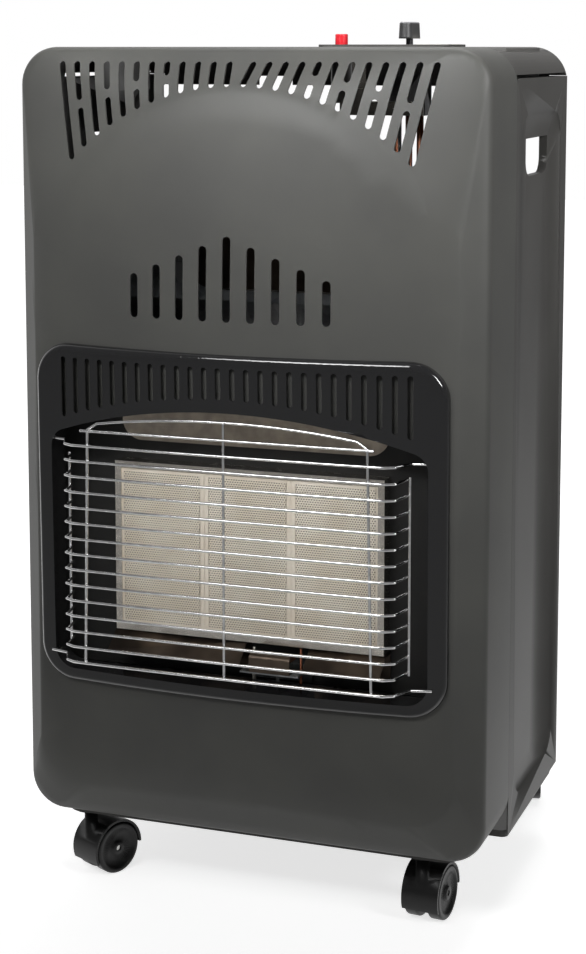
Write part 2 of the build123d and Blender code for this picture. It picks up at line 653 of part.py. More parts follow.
def make_gaskets():
    """Flat seals behind the plaques."""
    rings = []
    for index in range(3):
        x = plaque_x(index)
        half_w = PLAQUE_W / 2
        ring = box(x - half_w, x + half_w, PLAQUE_BACK_Y, BURNER_PANEL_Y, PLAQUE_BOTTOM_Z, PLAQUE_TOP_Z)
        hole = half_w - GASKET_W
        ring -= box(x - hole, x + hole, PLAQUE_BACK_Y - CUT_PAST, BURNER_PANEL_Y + CUT_PAST,
                    PLAQUE_BOTTOM_Z + GASKET_W, PLAQUE_TOP_Z - GASKET_W)
        rings.append(ring)
    return Compound(children=rings)


def make_plaque_frame():
    """Rim that holds the three plaques against the burner panel."""
    half_w = PLAQUE_PITCH + PLAQUE_W / 2 + GAP
    low_z = PLAQUE_BOTTOM_Z - GAP
    high_z = PLAQUE_TOP_Z + GAP
    wide = PLAQUE_FRAME_W
    front_y = PLAQUE_FRONT_Y - BURNER_SHEET
    frame = box(-half_w - wide, half_w + wide, front_y, BURNER_PANEL_Y, low_z - wide, high_z + wide)
    frame -= box(-half_w, half_w, PLAQUE_FRONT_Y, BURNER_PANEL_Y + CUT_PAST, low_z, high_z)
    frame -= box(-half_w + PLAQUE_LIP, half_w - PLAQUE_LIP, front_y - CUT_PAST, BURNER_PANEL_Y,
                 low_z + PLAQUE_LIP, high_z - PLAQUE_LIP)
    wall = BURNER_SHEET
    for side in (-1, 1):
        groove = sorted((side * (half_w + wall), side * (half_w + wide - wall)))
        frame -= box(*groove, front_y + wall, BURNER_PANEL_Y + CUT_PAST, low_z, high_z)
    return frame


def make_burner_panel():
    """Sheet across the cabinet that carries the burners and backs the opening."""
    half_w = INNER_W - GAP
    y0 = BURNER_PANEL_Y
    y1 = y0 + BURNER_SHEET
    low_z = PLAQUE_BOTTOM_Z - BURNER_PANEL_BELOW
    high_z = PLAQUE_TOP_Z + BURNER_PANEL_ABOVE
    panel = box(-half_w, half_w, y0, y1, low_z, high_z)
    for side in (-1, 1):
        edges = sorted((side * half_w, side * (half_w - BURNER_SHEET)))
        panel += box(*edges, y0, y0 + BURNER_PANEL_FLANGE, low_z, high_z)
    hole = PLAQUE_W / 2 - GASKET_W
    for index in range(3):
        x = plaque_x(index)
        panel -= box(x - hole, x + hole, y0 - CUT_PAST, y1 + CUT_PAST,
                     PLAQUE_BOTTOM_Z + GASKET_W, PLAQUE_TOP_Z - GASKET_W)
    return panel


def mixer_profile(high_z, wall):
    """Half section of the mixing tube: a throat between the chamber and a flared mouth."""
    throat_z = (MIXER_BOTTOM_Z + high_z) / 2
    flare_z = (throat_z + MIXER_BOTTOM_Z) / 2
    flare_r = MIXER_THROAT_R + MIXER_FLARE
    inner = [(MIXER_R, high_z), (MIXER_THROAT_R, throat_z), (flare_r, flare_z), (MIXER_MOUTH_R, MIXER_BOTTOM_Z)]
    outer = [(r + wall, z) for r, z in inner]
    return make_face(Line(inner[0], inner[1]) + ThreePointArc(*inner[1:]) + Line(inner[3], outer[3])
                     + ThreePointArc(*reversed(outer[1:])) + Line(outer[1], outer[0]) + Line(outer[0], inner[0]))


def make_burner_box(index):
    """Gas chamber behind one plaque, with its mixing tube."""
    x = plaque_x(index)
    wall = BURNER_SHEET
    half_w = PLAQUE_W / 2 - GASKET_W + wall
    high_z = PLAQUE_TOP_Z - GASKET_W + wall
    flange = GASKET_W - wall
    y0 = BOX_FRONT_Y
    y1 = y0 + BOX_DEPTH
    tank = box(x - half_w, x + half_w, y0, y1, BOX_LOW_Z, high_z)
    tank = fillet(tank.edges().group_by(Axis.Y)[-1], BOX_ROUND)
    tank += box(x - half_w - flange, x + half_w + flange, y0, y0 + wall, BOX_LOW_Z - flange, high_z + flange)
    hollow = box(x - half_w + wall, x + half_w - wall, y0 - CUT_PAST, y1 - wall, BOX_LOW_Z + wall, high_z - wall)
    tank -= fillet(hollow.edges().group_by(Axis.Y)[-1], BOX_ROUND - wall)
    profile = mixer_profile(BOX_LOW_Z + wall / 2, MIXER_WALL)
    mixer = Pos(x, MIXER_Y, 0) * revolve(Plane.XZ * profile, Axis.Z)
    inlet = upright(MIXER_R - wall / 2, x, MIXER_Y, BOX_LOW_Z - wall / 4, BOX_LOW_Z + wall + CUT_PAST)
    return tank + mixer - inlet


def make_injector_bar():
    """Angle across the cabinet that carries the three injectors."""
    half_w = INNER_W - GAP
    wall = BURNER_SHEET
    y0 = MIXER_Y - INJECTOR_BAR_W / 2
    y1 = MIXER_Y + INJECTOR_BAR_W / 2
    bar = box(-half_w, half_w, y0, y1, INJECTOR_BAR_Z, INJECTOR_BAR_Z + wall)
    bar += box(-half_w, half_w, y0, y0 + wall, INJECTOR_BAR_Z - INJECTOR_BAR_LIP, INJECTOR_BAR_Z)
    for side in (-1, 1):
        edges = sorted((side * half_w, side * (half_w - wall)))
        bar += box(*edges, y0, y1, INJECTOR_BAR_Z, INJECTOR_BAR_Z + INJECTOR_BAR_EAR)
    for index in range(3):
        bar -= upright(INJECTOR_R, plaque_x(index), MIXER_Y, INJECTOR_BAR_Z - CUT_PAST,
                       INJECTOR_BAR_Z + wall + CUT_PAST)
    return bar


def make_injector(index):
    """Brass injector, shouldered on the bar, with its gas bore."""
    x = plaque_x(index)
    low_z = INJECTOR_BAR_Z - INJECTOR_TAIL
    seat_z = INJECTOR_BAR_Z + BURNER_SHEET
    body = upright(INJECTOR_R, x, MIXER_Y, low_z, seat_z)
    hexagon = Pos(x, MIXER_Y, seat_z) * RegularPolygon(INJECTOR_HEX / 2, 6, major_radius=False)
    body += extrude(hexagon, INJECTOR_H / 2)
    body += Pos(x, MIXER_Y, seat_z + INJECTOR_H * 3 / 4) * Cone(INJECTOR_R, INJECTOR_TIP_R, INJECTOR_H / 2)
    return body - upright(INJECTOR_BORE_R, x, MIXER_Y, low_z - CUT_PAST, seat_z + INJECTOR_H + CUT_PAST)


def make_gas_pipe(index):
    """Gas pipe from the valve down behind the shield and forward to its injector."""
    start_x = KNOB_X + (1 - index) * PIPE_PITCH
    x = plaque_x(index)
    low_z = INJECTOR_BAR_Z - PIPE_DROP + index * PIPE_PITCH
    back_y = SHIELD_Y + PIPE_BEHIND_SHIELD
    straight_z = VALVE_LOW_Z - PIPE_STRAIGHT
    points = [(start_x, CONTROL_Y, VALVE_LOW_Z), (start_x, CONTROL_Y, straight_z),
              (start_x, back_y, straight_z - PIPE_JOG), (start_x, back_y, low_z), (x, back_y, low_z),
              (x, MIXER_Y, low_z), (x, MIXER_Y, INJECTOR_BAR_Z - INJECTOR_TAIL)]
    return tube(PIPE_R, points, PIPE_BEND_R)


# ---------------------------------------------------------------- reflectors, pilot, heat shield

def make_reflector_top():
    """Bright ceiling above the plaques, standing on the burner panel's face."""
    y1 = BURNER_PANEL_Y
    wall = BURNER_SHEET
    half_w = REFLECTOR_TOP_HALF_W
    side_x = half_w - TINTED_INSET
    sheet = front_prism(rounded_rect(-side_x, side_x, PLAQUE_TOP_Z + TINTED_RISE, REFLECTOR_TOP_Z + TINTED_R,
                                     TINTED_R), y1 - wall, y1)
    sheet -= box(-half_w, half_w, y1 - wall - CUT_PAST, y1 + CUT_PAST, REFLECTOR_TOP_Z, TOP_Z)
    return sheet + box(-half_w, half_w, y1 - REFLECTOR_REACH, y1, REFLECTOR_TOP_Z - wall, REFLECTOR_TOP_Z)


def make_reflector_bottom():
    """Bright trough below the plaques, notched for the pilot."""
    y1 = BURNER_PANEL_Y
    top_z = PLAQUE_BOTTOM_Z - GAP - PLAQUE_FRAME_W - GAP
    wall = BURNER_SHEET
    fold = wall * TROUGH_FOLD
    flat_y = y1 - TROUGH_FLAT
    lip_y = flat_y - TROUGH_SLOPE
    lip_z = top_z - TROUGH_FLAT
    points = [(y1, top_z), (flat_y, top_z), (lip_y, lip_z), (lip_y, lip_z - fold), (flat_y - wall / 2, top_z - fold),
              (y1 - wall, top_z - fold), (y1 - wall, top_z - TROUGH_DROP), (y1, top_z - TROUGH_DROP)]
    trough = side_prism(make_face(Polyline(*points, close=True)), -REFLECTOR_HALF_W, REFLECTOR_HALF_W)
    notch_w = PILOT_ARM_W / 2 + PILOT_ARM_PLAY
    return trough - box(PILOT_X - notch_w, PILOT_X + notch_w, lip_y - CUT_PAST, flat_y + wall + PILOT_ARM_PLAY,
                        0, TOP_Z) - box(PILOT_X - notch_w, PILOT_X + notch_w, flat_y, y1 + CUT_PAST, 0, top_z - fold)


def make_pilot_bracket():
    """Arm on the burner panel that carries the pilot, the electrode and the thermocouple."""
    half_w = PILOT_ARM_W / 2
    y1 = BURNER_PANEL_Y - GAP
    arm = box(PILOT_X - half_w, PILOT_X + half_w, PILOT_Y - PILOT_D / 2, y1, PILOT_Z - BURNER_SHEET, PILOT_Z)
    arm += box(PILOT_X - half_w, PILOT_X + half_w, y1 - BURNER_SHEET, y1, PILOT_Z - PILOT_H, PILOT_Z)
    holes = [upright(ELECTRODE_R + SENSOR_PLAY, ELECTRODE_X, SENSOR_Y, PILOT_Z - PILOT_H, PILOT_Z + CUT_PAST),
             upright(COUPLE_R + SENSOR_PLAY, COUPLE_X, SENSOR_Y, PILOT_Z - PILOT_H, PILOT_Z + CUT_PAST)]
    return arm - holes


def make_pilot_burner():
    """Pilot burner under its small cover."""
    half_w = PILOT_W / 2
    front_y = PILOT_Y - PILOT_D / 2
    back_y = PILOT_Y + PILOT_D / 2
    cover = box(PILOT_X - half_w, PILOT_X + half_w, front_y, back_y, PILOT_Z, PILOT_Z + PILOT_H)
    cover = fillet(cover.edges().filter_by(Axis.X).group_by(Axis.Z)[-1], PILOT_ROUND)
    window = box(PILOT_X - half_w - CUT_PAST, PILOT_X + half_w + CUT_PAST, front_y + PILOT_WALL,
                 back_y + CUT_PAST, PILOT_Z + PILOT_WALL, PILOT_Z + PILOT_WALL + PILOT_WINDOW)
    return cover - window


def make_pilot_pipe():
    """Thin pipe from the valve to the pilot."""
    jog_z = VALVE_LOW_Z - LANE_JOG_TOP
    low_z = PILOT_Z - PILOT_PIPE_LOW
    points = [(SMALL_PIPE_X, SMALL_PIPE_Y, VALVE_LOW_Z), (SMALL_PIPE_X, SMALL_PIPE_Y, jog_z),
              (SMALL_PIPE_X, PILOT_PIPE_LANE_Y, VALVE_LOW_Z - LANE_JOG_BOTTOM),
              (SMALL_PIPE_X, PILOT_PIPE_LANE_Y, low_z), (PILOT_X, PILOT_PIPE_LANE_Y, low_z),
              (PILOT_X, SENSOR_Y, low_z), (PILOT_X, SENSOR_Y, PILOT_Z - BURNER_SHEET)]
    return tube(PILOT_PIPE_R, points, SMALL_BEND_R)


def make_thermocouple():
    """Thermocouple whose tip stands in the pilot flame, with its lead to the valve."""
    jog_z = VALVE_LOW_Z - LANE_JOG_TOP
    low_z = PILOT_Z - COUPLE_LOW
    points = [(COUPLE_LANE_X, SMALL_PIPE_Y, VALVE_LOW_Z), (COUPLE_LANE_X, SMALL_PIPE_Y, jog_z),
              (COUPLE_LANE_X, COUPLE_LANE_Y, VALVE_LOW_Z - LANE_JOG_BOTTOM),
              (COUPLE_LANE_X, COUPLE_LANE_Y, low_z), (COUPLE_X, COUPLE_LANE_Y, low_z),
              (COUPLE_X, SENSOR_Y, low_z), (COUPLE_X, SENSOR_Y, PILOT_Z + COUPLE_TIP_RISE)]
    return tube(COUPLE_R, points, SMALL_BEND_R)


def make_electrode():
    """Ceramic insulator with the spark wire standing out of it."""
    top_z = PILOT_Z + ELECTRODE_LENGTH / 4
    rod = upright(ELECTRODE_R, ELECTRODE_X, SENSOR_Y, top_z - ELECTRODE_LENGTH, top_z)
    return rod + upright(ELECTRODE_WIRE_R, ELECTRODE_X, SENSOR_Y, top_z - CUT_PAST, top_z + ELECTRODE_TIP)


def make_ignition_lead():
    """Insulated lead from the igniter to the electrode."""
    top_z = TOP_Z - IGNITER_H
    low_z = PILOT_Z - LEAD_LOW
    points = [(BUTTON_X, CONTROL_Y, top_z), (BUTTON_X, CONTROL_Y, top_z - PIPE_STRAIGHT),
              (LEAD_LANE_X, LEAD_LANE_Y, VALVE_LOW_Z - LANE_JOG_BOTTOM), (LEAD_LANE_X, LEAD_LANE_Y, low_z),
              (LEAD_CROSS_X, LEAD_LANE_Y, low_z), (LEAD_CROSS_X, SENSOR_Y, low_z), (ELECTRODE_X, SENSOR_Y, low_z),
              (ELECTRODE_X, SENSOR_Y, PILOT_Z - ELECTRODE_LENGTH * 3 / 4)]
    return tube(LEAD_R, points, SMALL_BEND_R)


def make_heat_shield():
    """Sheet between the burners and the gas bottle's place."""
    half_w = INNER_W - TAB_DEPTH
    wall = BURNER_SHEET
    shield = box(-half_w, half_w, SHIELD_Y, SHIELD_Y + wall, SHIELD_BOTTOM_Z, SHIELD_TOP_Z)
    for side in (-1, 1):
        inner = side * (half_w - wall)
        outer = side * (INNER_W - GAP)
        for z0 in (SHIELD_BOTTOM_Z + SHIELD_TAB_H, SHIELD_TOP_Z - SHIELD_TOP_TAB):
            z1 = z0 + SHIELD_TAB_H
            shield += box(*sorted((inner, outer)), SHIELD_Y - wall, SHIELD_Y, z0, z1)
            shield += box(*sorted((outer - side * wall, outer)), SHIELD_Y - SHIELD_TAB_DEPTH, SHIELD_Y, z0, z1)
    return shield


# ---------------------------------------------------------------- panels, cover, tray

def make_side_panel(side):
    """Right-hand panel, mirrored for the left: embossed sheet with flanges and a hand hole."""
    y0 = SEAM_Y + GAP
    x1 = HALF_W
    x0 = HALF_W - SHEET
    panel = box(x0, x1, y0, REAR_Y, PANEL_BOTTOM_Z, PANEL_TOP_Z)
    recess = rounded_rect(SEAM_Y + EMBOSS_FRONT, REAR_Y - EMBOSS_REAR, PANEL_BOTTOM_Z + EMBOSS_BOTTOM,
                          PANEL_TOP_Z - EMBOSS_TOP, EMBOSS_R)
    back = offset(recess, SHEET)
    panel += side_prism(back, x0 - EMBOSS_DEPTH, x0)
    panel -= side_prism(recess, x1 - EMBOSS_DEPTH, x1 + CUT_PAST)
    tab_x1 = x0 - GAP
    low_z = SHELL_Z + CORNER_R
    high_z = PANEL_TOP_Z - CORNER_R
    panel += box(tab_x1 - SHEET, x0, y0, y0 + SHEET, low_z, high_z)
    panel += box(tab_x1 - SHEET, tab_x1, SEAM_Y - TAB_DEPTH / 2, y0 + SHEET, low_z, high_z)
    panel += box(x1 - REAR_FLANGE, x1, REAR_Y - SHEET, REAR_Y, PANEL_BOTTOM_Z, PANEL_TOP_Z)
    panel += box(x1 - REAR_FLANGE, x1, y0, REAR_Y, PANEL_TOP_Z - SHEET, PANEL_TOP_Z)
    top_z = HAND_HOLE_Z + HAND_HOLE_H
    half_w = HAND_HOLE_W / 2
    hole = make_face(Polyline((HAND_HOLE_Y - half_w, top_z), (HAND_HOLE_Y - half_w, HAND_HOLE_Z),
                              (HAND_HOLE_Y + half_w, HAND_HOLE_Z), (HAND_HOLE_Y + half_w, top_z), close=True))
    hole = fillet(hole.vertices().sort_by(Axis.Y)[:2], HAND_HOLE_R)
    collar = offset(hole, SHEET)
    inner_x = x0 - EMBOSS_DEPTH
    panel += side_prism(collar, inner_x - HAND_LIP, inner_x)
    panel -= side_prism(hole, inner_x - HAND_LIP - CUT_PAST, x1 + CUT_PAST)
    if side < 0:
        panel = mirror(panel, Plane.YZ)
    return panel


def cover_outline(inset):
    """Arch of the cover, drawn in by a wall."""
    half_w = HALF_W - inset
    return rounded_rect(-half_w, half_w, SHELL_Z, TOP_Z - inset, CORNER_R - inset)


def make_top_cover():
    """Folded top with rounded shoulders, a rear skirt and tabs inside the side panels."""
    y0 = SEAM_Y + GAP
    past = CUT_PAST
    skirt_y = REAR_Y - SHEET
    cover = front_prism(cover_outline(0), y0, REAR_Y) - front_prism(cover_outline(SHEET), y0 - past, skirt_y)
    reach = HALF_W + past
    cover -= box(-reach, reach, y0 - past, skirt_y, SHELL_Z - past, COVER_EDGE_Z)
    cover -= box(-reach, reach, skirt_y, REAR_Y + past, SHELL_Z - past, COVER_SKIRT_Z)
    side_x = INNER_W - REAR_FLANGE
    for side in (-1, 1):
        corner = sorted((side * (side_x - GAP), side * reach))
        cover -= box(*corner, skirt_y - past, REAR_Y + past, SHELL_Z, PANEL_TOP_Z + GAP)
        tab = sorted((side * (side_x - 2 * GAP), side * (side_x - 2 * GAP - SHEET)))
        cover += box(*tab, y0 + COVER_TAB_FRONT, REAR_Y - COVER_TAB_REAR, PANEL_TOP_Z - COVER_TAB_H, TOP_Z - SHEET)
    cover -= box(SKIRT_NOTCH_X - SKIRT_NOTCH_W / 2, SKIRT_NOTCH_X + SKIRT_NOTCH_W / 2, skirt_y - past,
                 REAR_Y + past, COVER_SKIRT_Z - past, COVER_SKIRT_Z + SKIRT_NOTCH_H)
    half_w = HALF_W - CORNER_R
    tab_z = UNDER_COVER_Z - SHEET
    cover += box(-half_w, half_w, SEAM_Y - TAB_DEPTH, y0 + SHEET, tab_z, UNDER_COVER_Z)
    cover += box(-half_w, half_w, y0, y0 + SHEET, tab_z, TOP_Z - SHEET)
    bores = [upright(NECK_VALVE_R + GAP, KNOB_X, CONTROL_Y, tab_z, TOP_Z + CUT_PAST),
             upright(IGNITER_R + GAP, BUTTON_X, CONTROL_Y, tab_z, TOP_Z + CUT_PAST)]
    return cover - bores


def tray_outline(inset):
    """Plan of the tray: full width between the side panels, narrower in front and behind."""
    wide = INNER_W - GAP - inset
    tail = TRAY_TAIL_HALF_W - inset
    y0 = TRAY_FRONT_Y + inset
    front = rounded_rect(-tail, tail, y0, REAR_Y, TRAY_FRONT_R - inset)
    middle = rounded_rect(-wide, wide, SEAT_Y + inset, REAR_Y - REAR_FLANGE - inset, TRAY_CORNER_R)
    rear = rounded_rect(-tail, tail, SEAT_Y, TRAY_REAR_Y - inset, TRAY_TAIL_R - inset)
    return front + middle + rear


def make_base_tray():
    """Floor tray with upturned edges; it carries the castors, the panels and the bottle."""
    edge_z = SHELL_Z
    tray = extrude(Pos(0, 0, TRAY_FLOOR_Z) * tray_outline(0), edge_z - TRAY_FLOOR_Z)
    tray -= extrude(Pos(0, 0, TRAY_TOP_Z) * tray_outline(TRAY_SHEET), edge_z - TRAY_FLOOR_Z)
    wide = INNER_W - GAP
    flange_y = REAR_Y - REAR_FLANGE - TRAY_FLANGE_END
    for side in (-1, 1):
        flange = sorted((side * wide, side * (wide - TRAY_SHEET)))
        tray += box(*flange, SEAT_Y + TRAY_CORNER_R, flange_y, edge_z - CUT_PAST, edge_z + TRAY_FLANGE_H)
    tail = TRAY_TAIL_HALF_W
    rim = rounded_rect(-tail, tail, TRAY_FRONT_Y, TRAY_REAR_Y, TRAY_TAIL_R)
    rim -= rounded_rect(-tail + TRAY_SHEET, tail - TRAY_SHEET, TRAY_FRONT_Y, TRAY_REAR_Y - TRAY_SHEET,
                        TRAY_TAIL_R - TRAY_SHEET)
    ring = extrude(Pos(0, 0, TRAY_TOP_Z) * rim, TRAY_TAIL_EDGE_Z - TRAY_TOP_Z)
    tray += ring - box(-HALF_W, HALF_W, 0, REAR_Y + GAP, 0, TOP_Z)
    for _, x, y, _ in CASTOR_PLACES:
        tray -= upright(SOCKET_R + GAP, x, y, TRAY_FLOOR_Z - CUT_PAST, TRAY_TOP_Z + CUT_PAST)
    return tray


# ---------------------------------------------------------------- castors

def across(radius, x, length):
    """A round bar along X through the wheel's centre."""
    return Pos(x, CASTOR_TRAIL, WHEEL_R) * Rot(0, 90, 0) * Cylinder(radius, length)


def make_castor_hood():
    """Hood, central web, neck and stem; the wheel centre trails the stem along +Y."""
    reach = 2 * WHEEL_R
    wide = HOOD_HALF_W
    past = wide + CUT_PAST
    band = across(HOOD_INNER_R + HOOD_WALL, 0, 2 * wide) - across(HOOD_INNER_R, 0, 2 * past)
    band -= box(-past, past, CASTOR_TRAIL, CASTOR_TRAIL + reach, -reach, WHEEL_R)
    band -= box(-past, past, CASTOR_TRAIL - reach, CASTOR_TRAIL + CUT_PAST, -reach, HOOD_FRONT_Z)
    web = across(HOOD_INNER_R + HOOD_WALL / 2, 0, FORK_W)
    web -= box(-wide, wide, CASTOR_TRAIL - reach, CASTOR_TRAIL + reach, -reach, HOOD_FRONT_Z)
    wheel_space = across(HOOD_INNER_R, 0, 2 * wide)
    wheel_space -= box(-FORK_W / 2, FORK_W / 2, CASTOR_TRAIL - reach, CASTOR_TRAIL + reach, 0, 2 * reach)
    neck = upright(NECK_R, 0, 0, WHEEL_R, NECK_TOP_Z) - wheel_space
    stem = upright(STEM_R, 0, 0, NECK_TOP_Z - CUT_PAST, NECK_TOP_Z + STEM_LENGTH)
    return band + web + neck + stem - across(AXLE_R + AXLE_PLAY, 0, FORK_W + 2 * CUT_PAST)


def make_castor_wheels():
    """Two wheels on one axle, each with a ring-shaped recess in its outer face."""
    wheels = []
    for side in (-1, 1):
        x = side * (FORK_W / 2 + WHEEL_PLAY + WHEEL_W / 2)
        face_x = x + side * WHEEL_W / 2
        disc = across(WHEEL_R, x, WHEEL_W)
        disc = fillet(disc.edges(), WHEEL_ROUND)
        disc -= across(WHEEL_R - WHEEL_TREAD, face_x, 2 * WHEEL_RECESS) - across(WHEEL_HUB_R, face_x, 2 * WHEEL_RECESS)
        wheels.append(disc - across(AXLE_R, x, WHEEL_W + 2 * CUT_PAST))
    return Compound(children=wheels)


def make_castor_axle():
    """Axle through both wheels, a little short of their faces."""
    return across(AXLE_R, 0, 2 * (FORK_W / 2 + WHEEL_PLAY + WHEEL_W - AXLE_END))


def make_castor_sockets():
    """Stem sockets set through the tray floor."""
    bore_r = STEM_R + STEM_PLAY
    low_z = TRAY_FLOOR_Z - SOCKET_FLANGE_T
    roof_z = NECK_TOP_Z + STEM_LENGTH + STEM_HEADROOM
    profile = make_face(Polyline((bore_r, low_z), (SOCKET_FLANGE_R, low_z), (SOCKET_FLANGE_R, TRAY_FLOOR_Z),
                                 (SOCKET_R, TRAY_FLOOR_Z), (SOCKET_R, SOCKET_TOP_Z), (0, SOCKET_TOP_Z),
                                 (0, roof_z), (bore_r, roof_z), close=True))
    socket = revolve(Plane.XZ * profile, Axis.Z)
    return Compound(children=[Pos(x, y, 0) * socket for _, x, y, _ in CASTOR_PLACES])


# ---------------------------------------------------------------- controls and gas parts

def make_control_plate():
    """Plate on the cover, with bores for the spindle and the button."""
    plate = box(PLATE_X0, PLATE_X1, PLATE_Y0, PLATE_Y1, TOP_Z, PLATE_TOP_Z)
    plate = fillet(plate.edges().filter_by(Axis.Z), PLATE_R)
    plate -= upright(SPINDLE_R + GAP, KNOB_X, CONTROL_Y, TOP_Z - CUT_PAST, PLATE_TOP_Z + CUT_PAST)
    return plate - upright(BUTTON_R + GAP, BUTTON_X, CONTROL_Y, TOP_Z - CUT_PAST, PLATE_TOP_Z + CUT_PAST)


def make_gas_valve():
    """Valve body with its neck under the control plate."""
    half_w = VALVE_W / 2
    half_d = VALVE_D / 2
    body = box(KNOB_X - half_w, KNOB_X + half_w, CONTROL_Y - half_d, CONTROL_Y + half_d, VALVE_LOW_Z, VALVE_TOP_Z)
    body = chamfer(body.edges().filter_by(Axis.Z), VALVE_CHAMFER)
    body += upright(NECK_VALVE_R, KNOB_X, CONTROL_Y, VALVE_TOP_Z, TOP_Z)
    cavity_z = TOP_Z - PLUNGER_H - PLUNGER_TRAVEL - PLUNGER_SPACE
    body -= upright(PLUNGER_R + SPINDLE_PLAY, KNOB_X, CONTROL_Y, cavity_z, TOP_Z + CUT_PAST)
    return body - upright(SPINDLE_R + SPINDLE_PLAY, KNOB_X, CONTROL_Y, VALVE_LOW_Z + VALVE_FLOOR, cavity_z + CUT_PAST)


def make_valve_bracket():
    """Bright strip that holds the valve's front, hung from the cover."""
    y1 = CONTROL_Y - VALVE_D / 2 - GAP
    y0 = y1 - SHEET
    x1 = KNOB_X + VALVE_W / 2
    strip = box(BRACKET_X0, x1, y0, y1, VALVE_LOW_Z, VALVE_LOW_Z + BRACKET_H)
    half_w = BRACKET_FOOT / 2
    strip += box(BRACKET_HANGER_X - half_w, BRACKET_HANGER_X + half_w, y0, y1, VALVE_LOW_Z, UNDER_COVER_Z)
    return strip + box(BRACKET_HANGER_X - half_w, BRACKET_HANGER_X + half_w, y0, y0 + BRACKET_FOOT,
                       UNDER_COVER_Z - SHEET, UNDER_COVER_Z)


def make_valve_plunger():
    """Sliding ring that the spindle carries down when the knob is pressed."""
    top_z = TOP_Z - PLUNGER_SINK
    ring = upright(PLUNGER_R, KNOB_X, CONTROL_Y, top_z - PLUNGER_H, top_z)
    return ring - upright(SPINDLE_R + SPINDLE_PLAY, KNOB_X, CONTROL_Y, top_z - PLUNGER_H - CUT_PAST, top_z + CUT_PAST)


def make_valve_spindle():
    """Turning spindle from the valve into the knob."""
    low_z = TOP_Z - PLUNGER_H - PLUNGER_TRAVEL - SPINDLE_TAIL
    return upright(SPINDLE_R, KNOB_X, CONTROL_Y, low_z, SPINDLE_TOP_Z)


def make_control_knob():
    """Bar knob on a round base; the bar points to the front when the gas is off."""
    low_z = PLATE_TOP_Z + KNOB_PLAY
    plan = SlotOverall(KNOB_LENGTH, KNOB_W, rotation=90)
    bar = extrude(Pos(KNOB_X, CONTROL_Y, low_z) * plan, KNOB_H, taper=KNOB_TAPER)
    bar = fillet(bar.edges().group_by(Axis.Z)[-1], KNOB_ROUND)
    return bar - upright(SPINDLE_R, KNOB_X, CONTROL_Y, PLATE_TOP_Z, SPINDLE_TOP_Z)


def make_igniter_body():
    """Piezo igniter hanging in the cover by its nut."""
    body = upright(IGNITER_R, BUTTON_X, CONTROL_Y, TOP_Z - IGNITER_H, TOP_Z)
    body += upright(IGNITER_R + IGNITER_NUT, BUTTON_X, CONTROL_Y, UNDER_COVER_Z - IGNITER_NUT, UNDER_COVER_Z)
    return body - upright(BUTTON_R + BUTTON_PLAY, BUTTON_X, CONTROL_Y, TOP_Z - IGNITER_H + IGNITER_FLOOR,
                          TOP_Z + CUT_PAST)


def make_igniter_button():
    """Push button with its stem inside the igniter."""
    button = upright(BUTTON_R, BUTTON_X, CONTROL_Y, TOP_Z - BUTTON_SINK, PLATE_TOP_Z + BUTTON_H)
    return fillet(button.edges().group_by(Axis.Z)[-1], BUTTON_ROUND)


def make_hose_nozzle():
    """Inlet nozzle behind the valve."""
    z = VALVE_LOW_Z + NOZZLE_RISE
    y0 = CONTROL_Y + VALVE_D / 2
    length = NOZZLE_HEX_L + NOZZLE_LENGTH
    turn = Rot(-90, 0, 0)
    nozzle = extrude(Pos(KNOB_X, y0, z) * turn * RegularPolygon(NOZZLE_HEX / 2, 6, major_radius=False),
                     NOZZLE_HEX_L, dir=(0, 1, 0))
    nozzle += Pos(KNOB_X, y0 + length / 2, z) * turn * Cylinder(NOZZLE_R, length)
    return nozzle - Pos(KNOB_X, y0 + length / 2, z) * turn * Cylinder(NOZZLE_BORE_R, length + CUT_PAST)


def save(shape, name):
    placed = Pos(0, -CENTRE_Y, 0) * shape
    export_step(placed, os.path.join("parts", name + ".step"))


def main():
    os.makedirs("parts", exist_ok=True)
    save(make_front_shell(), "front_shell")
    save(make_bezel(), "bezel")
    save(make_wire_guard(), "wire_guard")
    for index, place in enumerate(("left", "centre", "right")):
        save(make_plaque(index), "plaque_" + place)
        save(make_burner_box(index), "burner_box_" + place)
        save(make_injector(index), "injector_" + place)
        save(make_gas_pipe(index), "gas_pipe_" + place)
    save(make_gaskets(), "plaque_gaskets")
    save(make_plaque_frame(), "plaque_frame")
    save(make_burner_panel(), "burner_panel")
    save(make_injector_bar(), "injector_bar")
    save(make_reflector_top(), "reflector_top")
    save(make_reflector_bottom(), "reflector_bottom")
    save(make_pilot_bracket(), "pilot_bracket")
    save(make_pilot_burner(), "pilot_burner")
    save(make_pilot_pipe(), "pilot_pipe")
    save(make_thermocouple(), "thermocouple")
    save(make_electrode(), "ignition_electrode")
    save(make_ignition_lead(), "ignition_lead")
    save(make_heat_shield(), "heat_shield")
    save(make_side_panel(-1), "side_panel_left")
    save(make_side_panel(1), "side_panel_right")
    save(make_top_cover(), "top_cover")
    save(make_base_tray(), "base_tray")
    save(make_castor_sockets(), "castor_sockets")
    hood = make_castor_hood()
    wheels = make_castor_wheels()
    axle = make_castor_axle()
    for name, x, y, turn in CASTOR_PLACES:
        place = Pos(x, y, 0) * Rot(0, 0, turn)
        save(place * hood, "castor_hood_" + name)
        save(place * wheels, "castor_wheels_" + name)
        save(place * axle, "castor_axle_" + name)
    save(make_control_plate(), "control_plate")
    save(make_gas_valve(), "gas_valve")
    save(make_valve_bracket(), "valve_bracket")
    save(make_valve_plunger(), "valve_plunger")
    save(make_valve_spindle(), "valve_spindle")
    save(make_control_knob(), "control_knob")
    save(make_igniter_body(), "igniter_body")
    save(make_igniter_button(), "igniter_button")
    save(make_hose_nozzle(), "hose_nozzle")


main()
